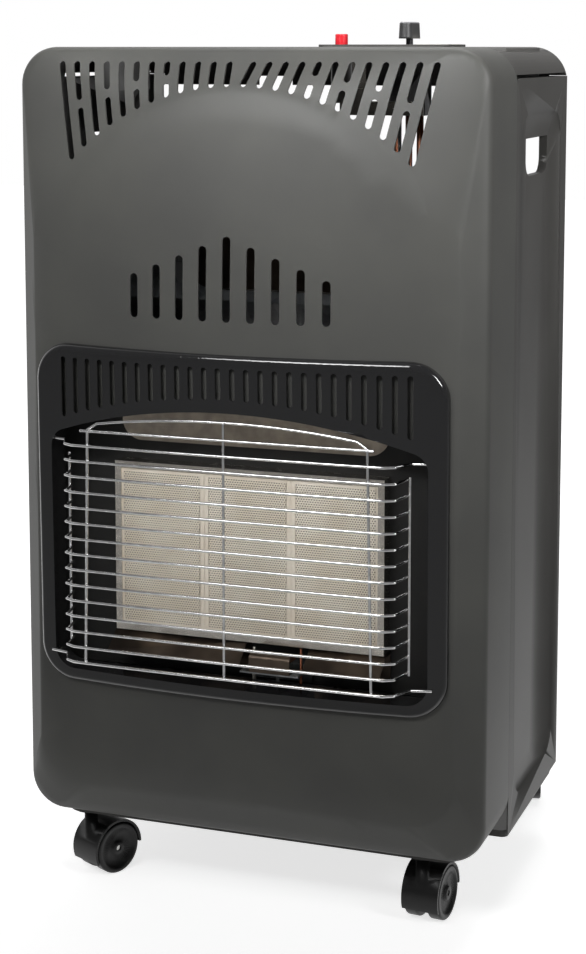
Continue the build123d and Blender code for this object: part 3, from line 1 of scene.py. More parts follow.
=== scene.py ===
# %% [markdown]
# # A portable gas cabinet heater
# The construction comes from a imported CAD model, which is loaded as a fixed frame. This lesson dresses it:
# powder-coated steel, gloss enamel, chromed wire, perforated ceramic, bright and heat-tinted sheet, and
# moulded plastic castors. Every piece rides on one of the frame's bodies, so it follows the joints.

# %% Load the frame
import json
from math import cos, pi, radians, sin, sqrt

import bmesh
import bpy
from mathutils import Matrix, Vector

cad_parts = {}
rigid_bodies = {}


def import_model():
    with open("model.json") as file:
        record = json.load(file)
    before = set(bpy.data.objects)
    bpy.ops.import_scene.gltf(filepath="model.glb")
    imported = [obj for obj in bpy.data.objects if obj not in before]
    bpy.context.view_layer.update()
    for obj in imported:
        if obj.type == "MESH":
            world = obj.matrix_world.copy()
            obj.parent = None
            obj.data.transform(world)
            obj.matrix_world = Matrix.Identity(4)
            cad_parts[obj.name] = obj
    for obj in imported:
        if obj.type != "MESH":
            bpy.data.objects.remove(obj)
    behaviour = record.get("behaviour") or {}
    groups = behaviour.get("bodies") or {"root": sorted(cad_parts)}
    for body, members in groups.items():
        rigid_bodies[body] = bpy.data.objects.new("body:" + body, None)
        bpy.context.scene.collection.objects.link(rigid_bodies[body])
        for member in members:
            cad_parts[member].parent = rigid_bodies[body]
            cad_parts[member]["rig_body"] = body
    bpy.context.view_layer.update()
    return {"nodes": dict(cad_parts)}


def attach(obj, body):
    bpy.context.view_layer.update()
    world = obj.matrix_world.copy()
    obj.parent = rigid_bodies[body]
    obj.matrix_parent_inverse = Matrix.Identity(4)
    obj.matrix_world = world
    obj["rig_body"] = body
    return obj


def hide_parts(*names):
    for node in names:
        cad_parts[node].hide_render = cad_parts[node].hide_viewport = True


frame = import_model()
MM = 0.001

# %% [markdown]
# ## Camera
# The heater is seen from the front, a little from the right and from just above. The lens is long and is
# shifted a little, as on a view camera, because that keeps the upright edges nearly parallel. Turning the
# camera further down instead would make them run together. The picture is 586 by 954, so the sensor's
# 36 mm lie along the long side.

# %% Camera
RIM_Y = -158.15            # the front shell's rim plane, in the frame
PICTURE_H = 954
FOCAL_PX = 2009.7
LENS_SHIFT = -0.19
CAMERA_X = 597.8
CAMERA_Y = -1541.6         # from the rim plane
CAMERA_Z = 739.1
CAMERA_DIP = 7.03          # degrees below level
CAMERA_TURN = 19.9         # degrees round the heater
camera_data = bpy.data.cameras.new("camera")
camera_data.sensor_width = 36.0
camera_data.lens = FOCAL_PX * camera_data.sensor_width / PICTURE_H
camera_data.shift_y = LENS_SHIFT
camera = bpy.data.objects.new("camera", camera_data)
camera.location = Vector((CAMERA_X, CAMERA_Y + RIM_Y, CAMERA_Z)) * MM
camera.rotation_euler = (radians(90 - CAMERA_DIP), 0, radians(CAMERA_TURN))
bpy.context.scene.collection.objects.link(camera)
bpy.context.scene.camera = camera
print("lens", round(camera_data.lens, 1), "mm")

# %% [markdown]
# ## Helpers for materials
# A colour is written as the hex value a painter would pick on screen, which is sRGB, and one function turns
# it to the linear values that shaders use. One more function adds a node, its settings and its links.

# %% Material helpers
def linear(hex_code):
    channels = []
    for i in (1, 3, 5):
        value = int(hex_code[i:i + 2], 16) / 255
        channels.append(value / 12.92 if value <= 0.04045 else ((value + 0.055) / 1.055) ** 2.4)
    return (*channels, 1.0)


def add(tree, kind, settings=None, inputs=None):
    """Adds a node; an input value that is a socket is linked, any other value is set."""
    node = tree.nodes.new(kind)
    for name, value in (settings or {}).items():
        setattr(node, name, value)
    for name, value in (inputs or {}).items():
        socket = node.inputs[name]
        if isinstance(value, bpy.types.NodeSocket):
            tree.links.new(value, socket)
        else:
            socket.default_value = value
    return node


def new_material(name):
    """A material with one Principled shader, for the caller to fill in."""
    material = bpy.data.materials.new(name)
    material.use_nodes = True
    tree = material.node_tree
    tree.nodes.clear()
    shader = add(tree, "ShaderNodeBsdfPrincipled")
    output = add(tree, "ShaderNodeOutputMaterial")
    tree.links.new(shader.outputs["BSDF"], output.inputs["Surface"])
    return material, tree, shader


def millimetre_noise(tree, size_mm, detail=2.0, stretch=(1, 1, 1)):
    """Noise whose blotches are about size_mm across, in object space."""
    place = add(tree, "ShaderNodeTexCoord")
    scaled = add(tree, "ShaderNodeMapping", inputs={"Vector": place.outputs["Object"], "Scale": stretch})
    return add(tree, "ShaderNodeTexNoise",
               inputs={"Vector": scaled.outputs["Vector"], "Scale": 1000 / size_mm, "Detail": detail})


def tone(tree, factor, low_hex, high_hex, low=0.35, high=0.65):
    """Colours between two tones, spread over the middle of a factor."""
    ramp = add(tree, "ShaderNodeValToRGB", inputs={"Fac": factor})
    ramp.color_ramp.elements[0].position = low
    ramp.color_ramp.elements[0].color = linear(low_hex)
    ramp.color_ramp.elements[1].position = high
    ramp.color_ramp.elements[1].color = linear(high_hex)
    return ramp.outputs["Color"]


def finish_surface(tree, shader, colour, grain, rough, height, depth_mm):
    """The colour, a roughness that follows the grain between two values, and a relief."""
    varied = add(tree, "ShaderNodeMapRange", inputs={
        "Value": grain, "From Min": 0.3, "From Max": 0.7, "To Min": rough[0], "To Max": rough[1]})
    relief = add(tree, "ShaderNodeBump", inputs={"Height": height, "Distance": depth_mm * MM})
    tree.links.new(colour, shader.inputs["Base Color"])
    tree.links.new(varied.outputs["Result"], shader.inputs["Roughness"])
    tree.links.new(relief.outputs["Normal"], shader.inputs["Normal"])


print("helpers ready")

# %% [markdown]
# ## Powder coat
# The shell, side panels, top and tray are pressed steel with a satin charcoal powder coat. Melted powder
# levels out to a faint orange peel a couple of millimetres across, with a fine grit on top. An image of
# paint could be wrapped round the panels, but noise in real millimetres needs no unwrapping and keeps its
# scale on every panel. The colour hardly varies, so the life is in the roughness and in the bump.

# %% Powder coat
CLOUD_MM = 90
PEEL_MM = 2.2
GRIT_MM = 0.5
GRIT_SHARE = 0.3
PEEL_DEPTH_MM = 0.02


def powder_coat(name, low_hex, high_hex, roughness):
    material, tree, shader = new_material(name)
    cloud = millimetre_noise(tree, CLOUD_MM, detail=3)
    peel = millimetre_noise(tree, PEEL_MM, detail=1)
    grit = millimetre_noise(tree, GRIT_MM, detail=2)
    height = add(tree, "ShaderNodeMath", {"operation": "MULTIPLY_ADD"},
                 {0: grit.outputs["Fac"], 1: GRIT_SHARE, 2: peel.outputs["Fac"]})
    finish_surface(tree, shader, tone(tree, cloud.outputs["Fac"], low_hex, high_hex), grit.outputs["Fac"],
                   (roughness - 0.05, roughness + 0.05), height.outputs[0], PEEL_DEPTH_MM)
    shader.inputs["Specular IOR Level"].default_value = 0.35
    return material


# Satin: broad soft highlights that show the bulge of the face.
shell_coat = powder_coat("satin_charcoal_powder_coat", "#434341", "#494946", 0.5)
# Painted shade: the same satin coat, a shade darker and browner, so the side panels stand back from the
# front.
panel_shade_coat = powder_coat("charcoal_powder_coat_painted_shade", "#3c3b39", "#42413f", 0.5)
print(shell_coat.name, panel_shade_coat.name)

# %% [markdown]
# ## Gloss enamel
# The bezel is vitreous stove enamel: nearly black, glassy, with soft broad waves where the glaze ran. A
# flat black gloss would look like plastic. The waves bend the reflections a little, and a thin clear coat
# over the glaze gives the sharp edge lights.

# %% Gloss enamel
WAVE_MM = 18
WAVE_DEPTH_MM = 0.06
SPECK_MM = 0.8


def gloss_enamel():
    material, tree, shader = new_material("black_stove_enamel")
    waves = millimetre_noise(tree, WAVE_MM, detail=1)
    specks = millimetre_noise(tree, SPECK_MM, detail=1)
    tree.links.new(tone(tree, specks.outputs["Fac"], "#161617", "#1c1c1d"), shader.inputs["Base Color"])
    relief = add(tree, "ShaderNodeBump",
                 inputs={"Height": waves.outputs["Fac"], "Distance": WAVE_DEPTH_MM * MM})
    tree.links.new(relief.outputs["Normal"], shader.inputs["Normal"])
    shader.inputs["Roughness"].default_value = 0.07
    shader.inputs["Coat Weight"].default_value = 0.4
    shader.inputs["Coat Roughness"].default_value = 0.03
    return material


enamel = gloss_enamel()
print(enamel.name)

# %% [markdown]
# ## Metals
# Most metals here differ only in colour, roughness and the direction of their grain, so one function makes
# them all. Galvanised sheet has flat crystals about ten millimetres across, each with its own tone, which
# noise can't give, so it gets Voronoi cells. All of them keep the default IOR.

# %% Metals
def plain_metal(name, low_hex, high_hex, roughness, cloud_mm=12, grain_mm=0.6, grain_depth=0.01,
                stretch=(1, 1, 1)):
    material, tree, shader = new_material(name)
    cloud = millimetre_noise(tree, cloud_mm, detail=2)
    grain = millimetre_noise(tree, grain_mm, detail=2, stretch=stretch)
    finish_surface(tree, shader, tone(tree, cloud.outputs["Fac"], low_hex, high_hex), grain.outputs["Fac"],
                   (roughness * 0.75, roughness * 1.25), grain.outputs["Fac"], grain_depth)
    shader.inputs["Metallic"].default_value = 1.0
    return material


CRYSTAL_MM = 10.0


def galvanised():
    material, tree, shader = new_material("galvanised_sheet")
    place = add(tree, "ShaderNodeTexCoord")
    crystals = add(tree, "ShaderNodeTexVoronoi",
                   inputs={"Vector": place.outputs["Object"], "Scale": 1000.0 / CRYSTAL_MM})
    grey = add(tree, "ShaderNodeSeparateColor", inputs={"Color": crystals.outputs["Color"]})
    tree.links.new(tone(tree, grey.outputs["Red"], "#8d9092", "#b4b6b7", 0, 1), shader.inputs["Base Color"])
    rough = add(tree, "ShaderNodeMapRange", inputs={
        "Value": grey.outputs["Green"], "From Min": 0.3, "From Max": 0.7, "To Min": 0.35, "To Max": 0.55})
    tree.links.new(rough.outputs["Result"], shader.inputs["Roughness"])
    shader.inputs["Metallic"].default_value = 1.0
    return material


GRAIN_ALONG_X = (0.03, 1, 1)
# Chromed wire: a bright mirror with slightly duller patches.
chrome = plain_metal("chromed_wire", "#d9d9da", "#efefef", 0.12, cloud_mm=6, grain_depth=0.002)
# Rolled steel: clean and silvery, its highlights drawn out along the sheet.
bright_steel = plain_metal("bright_rolled_steel", "#cfc9c0", "#e4dfd6", 0.22, stretch=GRAIN_ALONG_X)
# The same sheet after some heat: greyer, and too dull to mirror anything.
dulled_steel = plain_metal("dulled_rolled_steel", "#a0968a", "#b8ad9e", 0.42, stretch=GRAIN_ALONG_X)
# And after much heat: brown oxide in broad clouds.
tinted_steel = plain_metal("heat_tinted_steel", "#4a423c", "#6e6257", 0.38, cloud_mm=35,
                           stretch=GRAIN_ALONG_X)
# Galvanised sheet: a grey patchwork of crystals.
zinc = galvanised()
# Zinc plating on pins: pale grey with a soft shine.
zinc_bolt = plain_metal("zinc_plated_steel", "#a9aaa8", "#c4c4c0", 0.3)
# Black oxide on the spindle: nearly black, with an oily shine.
black_oxide = plain_metal("black_oxide_steel", "#242425", "#2e2e2f", 0.35)
# Turned brass: warm yellow and fairly bright.
brass = plain_metal("turned_brass", "#a98445", "#c39c58", 0.28)
# Drawn copper that has aged: reddish brown.
copper = plain_metal("drawn_copper", "#7a4a34", "#96604a", 0.35, cloud_mm=20)
# Die cast aluminium: light grey with the grain of the mould.
die_cast = plain_metal("die_cast_aluminium", "#a3a4a6", "#b9babc", 0.42, grain_mm=0.9, grain_depth=0.03)
# Drawn aluminium tube: light grey and a little shinier.
aluminium_tube = plain_metal("aluminium_tube", "#b5b6b8", "#c6c7c9", 0.3)
print("metals:", [m.name for m in (chrome, bright_steel, dulled_steel, tinted_steel, zinc, zinc_bolt,
                                   black_oxide, brass, copper, die_cast, aluminium_tube)])

# %% [markdown]
# ## Ceramic and plastics
# The plaques are pressed cordierite, a cream ceramic that stays matt and a little powdery. Castors, knob and
# button are moulded plastic, and a spark-eroded mould leaves a fine grain on them. They are all plain
# non-metals with a grain, so one function serves them.

# %% Ceramic and plastics
def matt_body(name, low_hex, high_hex, roughness, grain_mm, grain_depth, cloud_mm=25, specular=0.5):
    material, tree, shader = new_material(name)
    cloud = millimetre_noise(tree, cloud_mm, detail=3)
    grain = millimetre_noise(tree, grain_mm, detail=2)
    finish_surface(tree, shader, tone(tree, cloud.outputs["Fac"], low_hex, high_hex), grain.outputs["Fac"],
                   (roughness - 0.04, roughness + 0.04), grain.outputs["Fac"], grain_depth)
    shader.inputs["Specular IOR Level"].default_value = specular
    return material


# Cordierite: cream and quite matt, so the bores show as plain dots.
ceramic = matt_body("cordierite_ceramic", "#e6dac8", "#efe6d7", 0.9, 0.7, 0.05)
# The walls and floors of its bores: painted dark, as the shade deep inside them.
bore_shade_ceramic = matt_body("painted_shade_cordierite", "#4f463a", "#6a5e4e", 0.95, 0.7, 0.02)
# Ceramic fibre: off-white and felty.
fibre = matt_body("ceramic_fibre", "#d9d4c8", "#e6e2d8", 0.95, 1.0, 0.1)
# Sheet painted near black as shade: no shine, so it drops out of sight.
shade_sheet_black = matt_body("near_black_painted_shade_sheet", "#161615", "#1c1b1a", 0.6, 0.6, 0.01)
# Black nylon: deep black with a weak waxy shine.
castor_plastic = matt_body("black_nylon", "#0c0c0c", "#101010", 0.38, 0.5, 0.012, specular=0.3)
# ABS: charcoal for the knob, a pale grey painted on its top faces as the light from above, polished red for
# the button.
knob_plastic = matt_body("charcoal_abs", "#2b2b2c", "#323233", 0.45, 0.4, 0.01)
knob_painted_light = matt_body("painted_light_grey_plastic", "#77777a", "#828285", 0.4, 0.4, 0.01)
button_plastic = matt_body("red_abs", "#c01f28", "#cc2630", 0.22, 0.6, 0.003)
# Phenolic: a dull mid grey.
body_plastic = matt_body("grey_phenolic", "#5b5b5b", "#666664", 0.5, 0.5, 0.01)
# Silicone on the ignition lead: black and a little greasy.
lead_rubber = matt_body("silicone_lead", "#1a1a1b", "#222223", 0.4, 0.8, 0.005)
# Polyester film: pale and smooth.
label_film = matt_body("bare_label_film", "#d9d6ce", "#e2dfd8", 0.35, 0.3, 0.002)
print("ceramic and plastics:", [m.name for m in (
    ceramic, bore_shade_ceramic, fibre, shade_sheet_black, castor_plastic, knob_plastic, knob_painted_light,
    button_plastic, body_plastic, lead_rubber, label_film)])

# %% [markdown]
# ## Dressing the CAD nodes
# The CAD meshes are loose triangles with the right shape. They could be modelled again by hand, but a copy
# keeps every fit true. Each copy is merged, shaded smooth except at real edges, given its material, and then
# stands for its node. Flat or hidden nodes need no smoothing, so they keep their own mesh.

# %% Helpers that dress a node
MERGE_M = 0.00001
CREASE_DEG = 28


def link(obj):
    bpy.context.scene.collection.objects.link(obj)
    return obj


def body_of(node):
    return frame["nodes"][node]["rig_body"]


def dressed(node, material):
    """A merged and smoothed copy of the node's mesh takes the node's place."""
    mesh = frame["nodes"][node].data.copy()
    mesh.name = node + "_dressed"
    work = bmesh.new()
    work.from_mesh(mesh)
    bmesh.ops.remove_doubles(work, verts=work.verts, dist=MERGE_M)
    work.to_mesh(mesh)
    work.free()
    if mesh.has_custom_normals:
        mesh.normals_split_custom_set([(0, 0, 0)] * len(mesh.loops))
    mesh.shade_smooth()
    mesh.set_sharp_from_angle(angle=radians(CREASE_DEG))
    mesh.materials.clear()
    mesh.materials.append(material)
    piece = link(bpy.data.objects.new(node + "_dressed", mesh))
    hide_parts(node)
    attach(piece, body_of(node))
    return piece


def plain(node, material):
    """A node whose mesh is fine as it is keeps it and gets its material."""
    mesh = frame["nodes"][node].data
    mesh.materials.clear()
    mesh.materials.append(material)


# %% [markdown]
# The big painted and enamelled parts come first, then what repeats, and then the single parts. A table of
# names and materials is shorter than a call for each, and it reads like a parts list.

# %% Dress the nodes
CASTORS = ("front_left", "front_right", "rear_left", "rear_right")
PLACES = ("left", "centre", "right")
DRESSED = {
    "front_shell": shell_coat, "bezel": enamel,
    "side_panel_left": panel_shade_coat, "side_panel_right": panel_shade_coat, "top_cover": panel_shade_coat,
    "base_tray": panel_shade_coat, "control_plate": panel_shade_coat,
    **{f"castor_{part}_{name}": castor_plastic for name in CASTORS for part in ("hood", "wheels")},
    **{"gas_pipe_" + name: copper for name in PLACES},
    "reflector_bottom": tinted_steel, "pilot_burner": tinted_steel, "gas_valve": die_cast,
    "control_knob": knob_plastic, "igniter_body": body_plastic, "igniter_button": button_plastic,
    "hose_nozzle": brass, "pilot_pipe": aluminium_tube, "thermocouple": copper,
    "ignition_electrode": fibre, "ignition_lead": lead_rubber,
}
PLAIN = {
    **{"castor_axle_" + name: zinc_bolt for name in CASTORS},
    **{"burner_box_" + name: bright_steel for name in PLACES},
    **{"injector_" + name: brass for name in PLACES},
    "castor_sockets": castor_plastic, "plaque_frame": bright_steel, "plaque_gaskets": fibre,
    "burner_panel": shade_sheet_black, "injector_bar": zinc, "reflector_top": dulled_steel,
    "pilot_bracket": zinc, "heat_shield": zinc, "valve_plunger": brass, "valve_spindle": black_oxide,
    "valve_bracket": bright_steel,
}
pieces = {node: dressed(node, material) for node, material in DRESSED.items()}
for node, material in PLAIN.items():
    plain(node, material)
print("dressed", len(pieces), "nodes and left", len(PLAIN), "as they are")

# %% [markdown]
# ## Painted light on the knob top, and the label
# The knob is dark, and the faces on its top that look up are painted a pale grey, as the light from above
# falls on them. The painted layer has no thickness, so those faces get a second plastic. A bare label film
# lies on the control plate beside the knob. It is a thin sheet with round corners, cut from an outline, and
# later sheets are cut the same way.

# %% Cut a sheet from an outline
def cut_sheet(name, outline, thickness, place, material):
    """A flat sheet. The outline is in millimetres, and place turns (a, b, depth) into x, y and z."""
    work = bmesh.new()
    near = [work.verts.new([v * MM for v in place(a, b, 0)]) for a, b in outline]
    far = [work.verts.new([v * MM for v in place(a, b, thickness)]) for a, b in outline]
    work.faces.new(near)
    work.faces.new(far)
    for i in range(len(outline)):
        j = (i + 1) % len(outline)
        work.faces.new((near[i], near[j], far[j], far[i]))
    bmesh.ops.recalc_face_normals(work, faces=work.faces)
    mesh = bpy.data.meshes.new(name)
    work.to_mesh(mesh)
    work.free()
    mesh.materials.append(material)
    return link(bpy.data.objects.new(name, mesh))


def quarter_arc(middle_a, middle_b, radius, start, steps=8):
    return [(middle_a + radius * cos(radians(start + 90 * i / steps)),
             middle_b + radius * sin(radians(start + 90 * i / steps))) for i in range(steps + 1)]


def round_rectangle(a0, b0, a1, b1, radius):
    return (quarter_arc(a0 + radius, b0 + radius, radius, 180)
            + quarter_arc(a1 - radius, b0 + radius, radius, 270)
            + quarter_arc(a1 - radius, b1 - radius, radius, 0)
            + quarter_arc(a0 + radius, b1 - radius, radius, 90))


print("a label outline has", len(round_rectangle(0, 0, 30, 40, 2)), "points")

# %% Painted light on the knob top, and label
LIT_TOP_H = 0.003              # in metres, as the mesh is
LIT_TOP_SLOPE = 0.35
LABEL = (112.0, -57.0, 143.0, -15.0)
LABEL_R = 2.0
LABEL_T = 0.2
knob = pieces["control_knob"]
knob_top = max(v.co.z for v in knob.data.vertices)
# Painted light: the top faces that look up get the pale grey second plastic.
knob.data.materials.append(knob_painted_light)
for face in knob.data.polygons:
    if face.normal.z > LIT_TOP_SLOPE and face.center.z > knob_top - LIT_TOP_H:
        face.material_index = 1

plate = frame["nodes"]["control_plate"]
plate_top = max((plate.matrix_world @ v.co).z for v in plate.data.vertices) / MM
label = cut_sheet("bare_label", round_rectangle(*LABEL, LABEL_R), LABEL_T,
                  lambda a, b, c: (a, b, plate_top + c), label_film)
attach(label, "cabinet")
print("cap faces:", sum(face.material_index for face in knob.data.polygons))

# %% [markdown]
# ## Sheets behind the slots
# Behind the nine slots hangs a thin dark brown sheet, painted shade for the dark seen through the slots, with
# a bright steel strip along its lower edge as a painted highlight. A galvanised baffle carries it and is
# folded on to both side panels. All of it is flat sheet, so it is cut from outlines. Only a narrow strip of
# it shows through each slot.

# %% Baffle and deflector
SHEET_T = 1.0
BAFFLE = (-203.7, 500.0, 203.7, 598.0)
BAFFLE_Y = -62.0
FLANGE_D = 14.0
FLANGE_CUT = 6.0
SHADE_SHEET = (-92.0, 528.0, 150.0, 594.0)
SHADE_SHEET_R = 20.0
HIGHLIGHT_STRIP_H = 1.6


def upright_sheet(name, outline, front_y, back_y, material):
    return cut_sheet(name, outline, back_y - front_y, lambda a, b, c: (a, front_y + c, b), material)


x0, z0, x1, z1 = BAFFLE
hidden_sheets = [upright_sheet("slot_baffle", [(x0, z0), (x1, z0), (x1, z1), (x0, z1)],
                               BAFFLE_Y, BAFFLE_Y + SHEET_T, zinc)]
flange = [(BAFFLE_Y + SHEET_T, z0), (BAFFLE_Y + FLANGE_D, z0 + FLANGE_CUT),
          (BAFFLE_Y + FLANGE_D, z1 - FLANGE_CUT), (BAFFLE_Y + SHEET_T, z1)]
for name, x in (("baffle_flange_left", x0), ("baffle_flange_right", x1 - SHEET_T)):
    hidden_sheets.append(cut_sheet(name, flange, SHEET_T, lambda a, b, c: (x + c, a, b), zinc))
# Painted shade: a dark brown sheet seen through the slots. Painted highlight: a bright strip on its lower
# edge.
x0, z0, x1, z1 = SHADE_SHEET
sheet = quarter_arc(x0 + SHADE_SHEET_R, z0 + SHADE_SHEET_R, SHADE_SHEET_R, 180) + [(x1, z0), (x1, z1), (x0, z1)]
hidden_sheets.append(upright_sheet("deflector_painted_shade", sheet, BAFFLE_Y - SHEET_T, BAFFLE_Y, tinted_steel))
strip_x, strip_low, strip_high = x0 + SHADE_SHEET_R, z0 - HIGHLIGHT_STRIP_H / 2, z0 + HIGHLIGHT_STRIP_H / 2
highlight_strip = [(strip_x, strip_low), (x1, strip_low), (x1, strip_high), (strip_x, strip_high)]
hidden_sheets.append(upright_sheet("deflector_painted_highlight", highlight_strip, BAFFLE_Y - 2 * SHEET_T, BAFFLE_Y - SHEET_T / 2,
                                   bright_steel))
for piece in hidden_sheets:
    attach(piece, "cabinet")
print("sheets:", [piece.name for piece in hidden_sheets])

# %% [markdown]
# ## Wire guard
# The guard is fifteen chromed wires, bowed a little forward, whose ends turn back towards the bezel, with
# upright wires welded behind them. Each wire could be a curve with a bevel of its own. But they repeat at
# one pitch, so a small Geometry Nodes tree copies one drawn path a number of times by a fixed step and gives
# it a round section. A change of pitch or gauge is then a change of one value.

# %% A tree that repeats a wire
def new_tree(name, inputs):
    """A Geometry Nodes tree with its named inputs, and its first and last node."""
    tree = bpy.data.node_groups.new(name, "GeometryNodeTree")
    tree.interface.new_socket("Geometry", in_out="INPUT", socket_type="NodeSocketGeometry")
    for label, kind in inputs:
        tree.interface.new_socket(label, in_out="INPUT", socket_type=kind)
    tree.interface.new_socket("Geometry", in_out="OUTPUT", socket_type="NodeSocketGeometry")
    return tree, add(tree, "NodeGroupInput"), add(tree, "NodeGroupOutput")


def wire_rows_tree():
    tree, given, out = new_tree("wire_rows", (
        ("Count", "NodeSocketInt"), ("Step", "NodeSocketVector"), ("Wire radius", "NodeSocketFloat"),
        ("Sides", "NodeSocketInt"), ("Material", "NodeSocketMaterial")))
    spots = add(tree, "GeometryNodeMeshLine", {"mode": "OFFSET"},
                {"Count": given.outputs["Count"], "Offset": given.outputs["Step"]})
    rows = add(tree, "GeometryNodeInstanceOnPoints",
               inputs={"Points": spots.outputs["Mesh"], "Instance": given.outputs["Geometry"]})
    real = add(tree, "GeometryNodeRealizeInstances", inputs={"Geometry": rows.outputs["Instances"]})
    section = add(tree, "GeometryNodeCurvePrimitiveCircle",
                  inputs={"Radius": given.outputs["Wire radius"], "Resolution": given.outputs["Sides"]})
    wire = add(tree, "GeometryNodeCurveToMesh", inputs={
        "Curve": real.outputs["Geometry"], "Profile Curve": section.outputs["Curve"], "Fill Caps": True})
    smooth = add(tree, "GeometryNodeSetShadeSmooth", inputs={"Geometry": wire.outputs["Mesh"]})
    painted = add(tree, "GeometryNodeSetMaterial", inputs={
        "Geometry": smooth.outputs["Geometry"], "Material": given.outputs["Material"]})
    tree.links.new(painted.outputs["Geometry"], out.inputs["Geometry"])
    return tree


def run_tree(base, tree, values, name):
    """Puts the tree on a base object with its values and returns the result as a plain mesh."""
    modifier = base.modifiers.new(tree.name, "NODES")
    modifier.node_group = tree
    for item in tree.interface.items_tree:
        if item.in_out == "INPUT" and item.name in values:
            modifier[item.identifier] = values[item.name]
    shapes = bpy.context.evaluated_depsgraph_get()
    shapes.update()
    mesh = bpy.data.meshes.new_from_object(base.evaluated_get(shapes), depsgraph=shapes)
    mesh.name = name
    bpy.data.objects.remove(base)
    return mesh


WIRE_ROWS = wire_rows_tree()
print(WIRE_ROWS.name, len(WIRE_ROWS.nodes), "nodes")

# %% [markdown]
# Each path is drawn in millimetres, with its depth measured from the rim plane. Corners are rounded by a
# short arc, as a bending machine leaves them.

# %% Guard paths
GUARD_LEVELS = 15
GUARD_FIRST_Z = 224.8
GUARD_PITCH = 13.28
GUARD_HALF_W = 148.5
GUARD_FRONT_Y = -58.5
GUARD_BOW = 2.2
GUARD_SIDE_Y = -30.0
GUARD_HOOK_X = 169.5
UPRIGHT_X = 126.0
ARCH_SIDE_Z = 428.0
ARCH_TOP_Z = 437.8
EXTRA_Z = 423.6
WIRE_R = 1.2
WELD = 0.3                 # how deep two wires melt into each other
BEND_R = 5.0
STRAIGHT_DEG = 85          # half the angle above which a corner is left as it is
BOW_STEPS = 12
ARCH_STEPS = 10


def rounded(points, radius, steps=5):
    """The same run of points with each inner corner replaced by an arc."""
    points = [Vector(p) for p in points]
    path = [points[0]]
    for before, bend, after in zip(points, points[1:], points[2:]):
        back = (before - bend).normalized()
        ahead = (after - bend).normalized()
        half = back.angle(ahead) / 2
        if half > radians(STRAIGHT_DEG):
            path.append(bend)
            continue
        centre = bend + (back + ahead).normalized() * radius / sin(half)
        start = bend + back * radius / (sin(half) / cos(half))
        end = bend + ahead * radius / (sin(half) / cos(half))
        for step in range(steps + 1):
            path.append(centre + (start - centre).slerp(end - centre, step / steps))
    path.append(points[-1])
    return path


def path_object(name, points):
    """A poly curve through points in millimetres, whose y is measured from the rim plane."""
    curve = bpy.data.curves.new(name, "CURVE")
    curve.dimensions = "3D"
    spline = curve.splines.new("POLY")
    spline.points.add(len(points) - 1)
    for spot, (x, y, z) in zip(spline.points, points):
        spot.co = (x * MM, (y + RIM_Y) * MM, z * MM, 1)
    return link(bpy.data.objects.new(name, curve))


def level_path(z, hooked):
    bow = [(x, GUARD_FRONT_Y + GUARD_BOW * (x / GUARD_HALF_W) ** 2, z)
           for x in [GUARD_HALF_W * (i / BOW_STEPS - 1) for i in range(2 * BOW_STEPS + 1)]]
    tail = [(GUARD_HALF_W, GUARD_SIDE_Y, z)]
    if hooked:
        tail.append((GUARD_HOOK_X, GUARD_SIDE_Y, z))
    head = [(-x, y, h) for x, y, h in reversed(tail)]
    return rounded(head + bow + tail, BEND_R)


print("one level wire has", len(level_path(0, True)), "points")

# %% [markdown]
# The levels between the first and the last are one row. The first and the last have hooks that go through
# the bezel, so they are a row of two. The frame wire with the arch, the middle upright, the short level under
# the arch and the two side uprights follow. All rows are joined into one mesh, because the guard is one part.

# %% Build the guard
WIRE_SIDES = 12
SIDE_MARGIN = 2            # what an upright or a short level reaches past its outer weld


def wire_rows(name, points, count=1, step=(0, 0, 0)):
    return run_tree(path_object(name, points), WIRE_ROWS,
                    {"Count": count, "Step": [v * MM for v in step], "Wire radius": WIRE_R * MM,
                     "Sides": WIRE_SIDES, "Material": chrome}, name)


def join_meshes(name, meshes):
    work = bmesh.new()
    for mesh in meshes:
        work.from_mesh(mesh)
    whole = bpy.data.meshes.new(name)
    work.to_mesh(whole)
    work.free()
    whole.materials.append(meshes[0].materials[0])
    return whole


behind = 2 * WIRE_R - WELD
arch_y = GUARD_FRONT_Y + GUARD_BOW * (UPRIGHT_X / GUARD_HALF_W) ** 2 + behind
foot_z = GUARD_FIRST_Z - WIRE_R
span = GUARD_PITCH * (GUARD_LEVELS - 1)
arch_r = (UPRIGHT_X ** 2 + (ARCH_TOP_Z - ARCH_SIDE_Z) ** 2) / (2 * (ARCH_TOP_Z - ARCH_SIDE_Z))
crown = [(x, arch_y, ARCH_TOP_Z - arch_r + sqrt(arch_r ** 2 - x ** 2))
         for x in [UPRIGHT_X * (i / ARCH_STEPS - 1) for i in range(2 * ARCH_STEPS + 1)]]
frame_wire = rounded([(-UPRIGHT_X, arch_y, foot_z)] + crown + [(UPRIGHT_X, arch_y, foot_z)], BEND_R)
middle_y = GUARD_FRONT_Y + behind
middle_wire = [(0, middle_y, foot_z), (0, middle_y, ARCH_TOP_Z)]
short_x, short_y = UPRIGHT_X + SIDE_MARGIN, arch_y - behind
short_level = [(-short_x, short_y, EXTRA_Z), (short_x, short_y, EXTRA_Z)]
side_x, side_y = GUARD_HALF_W + behind, GUARD_SIDE_Y - WIRE_R
side_low = GUARD_FIRST_Z + GUARD_PITCH - SIDE_MARGIN
side_high = GUARD_FIRST_Z + span - GUARD_PITCH + SIDE_MARGIN
side_wire = [(-side_x, side_y, side_low), (-side_x, side_y, side_high)]
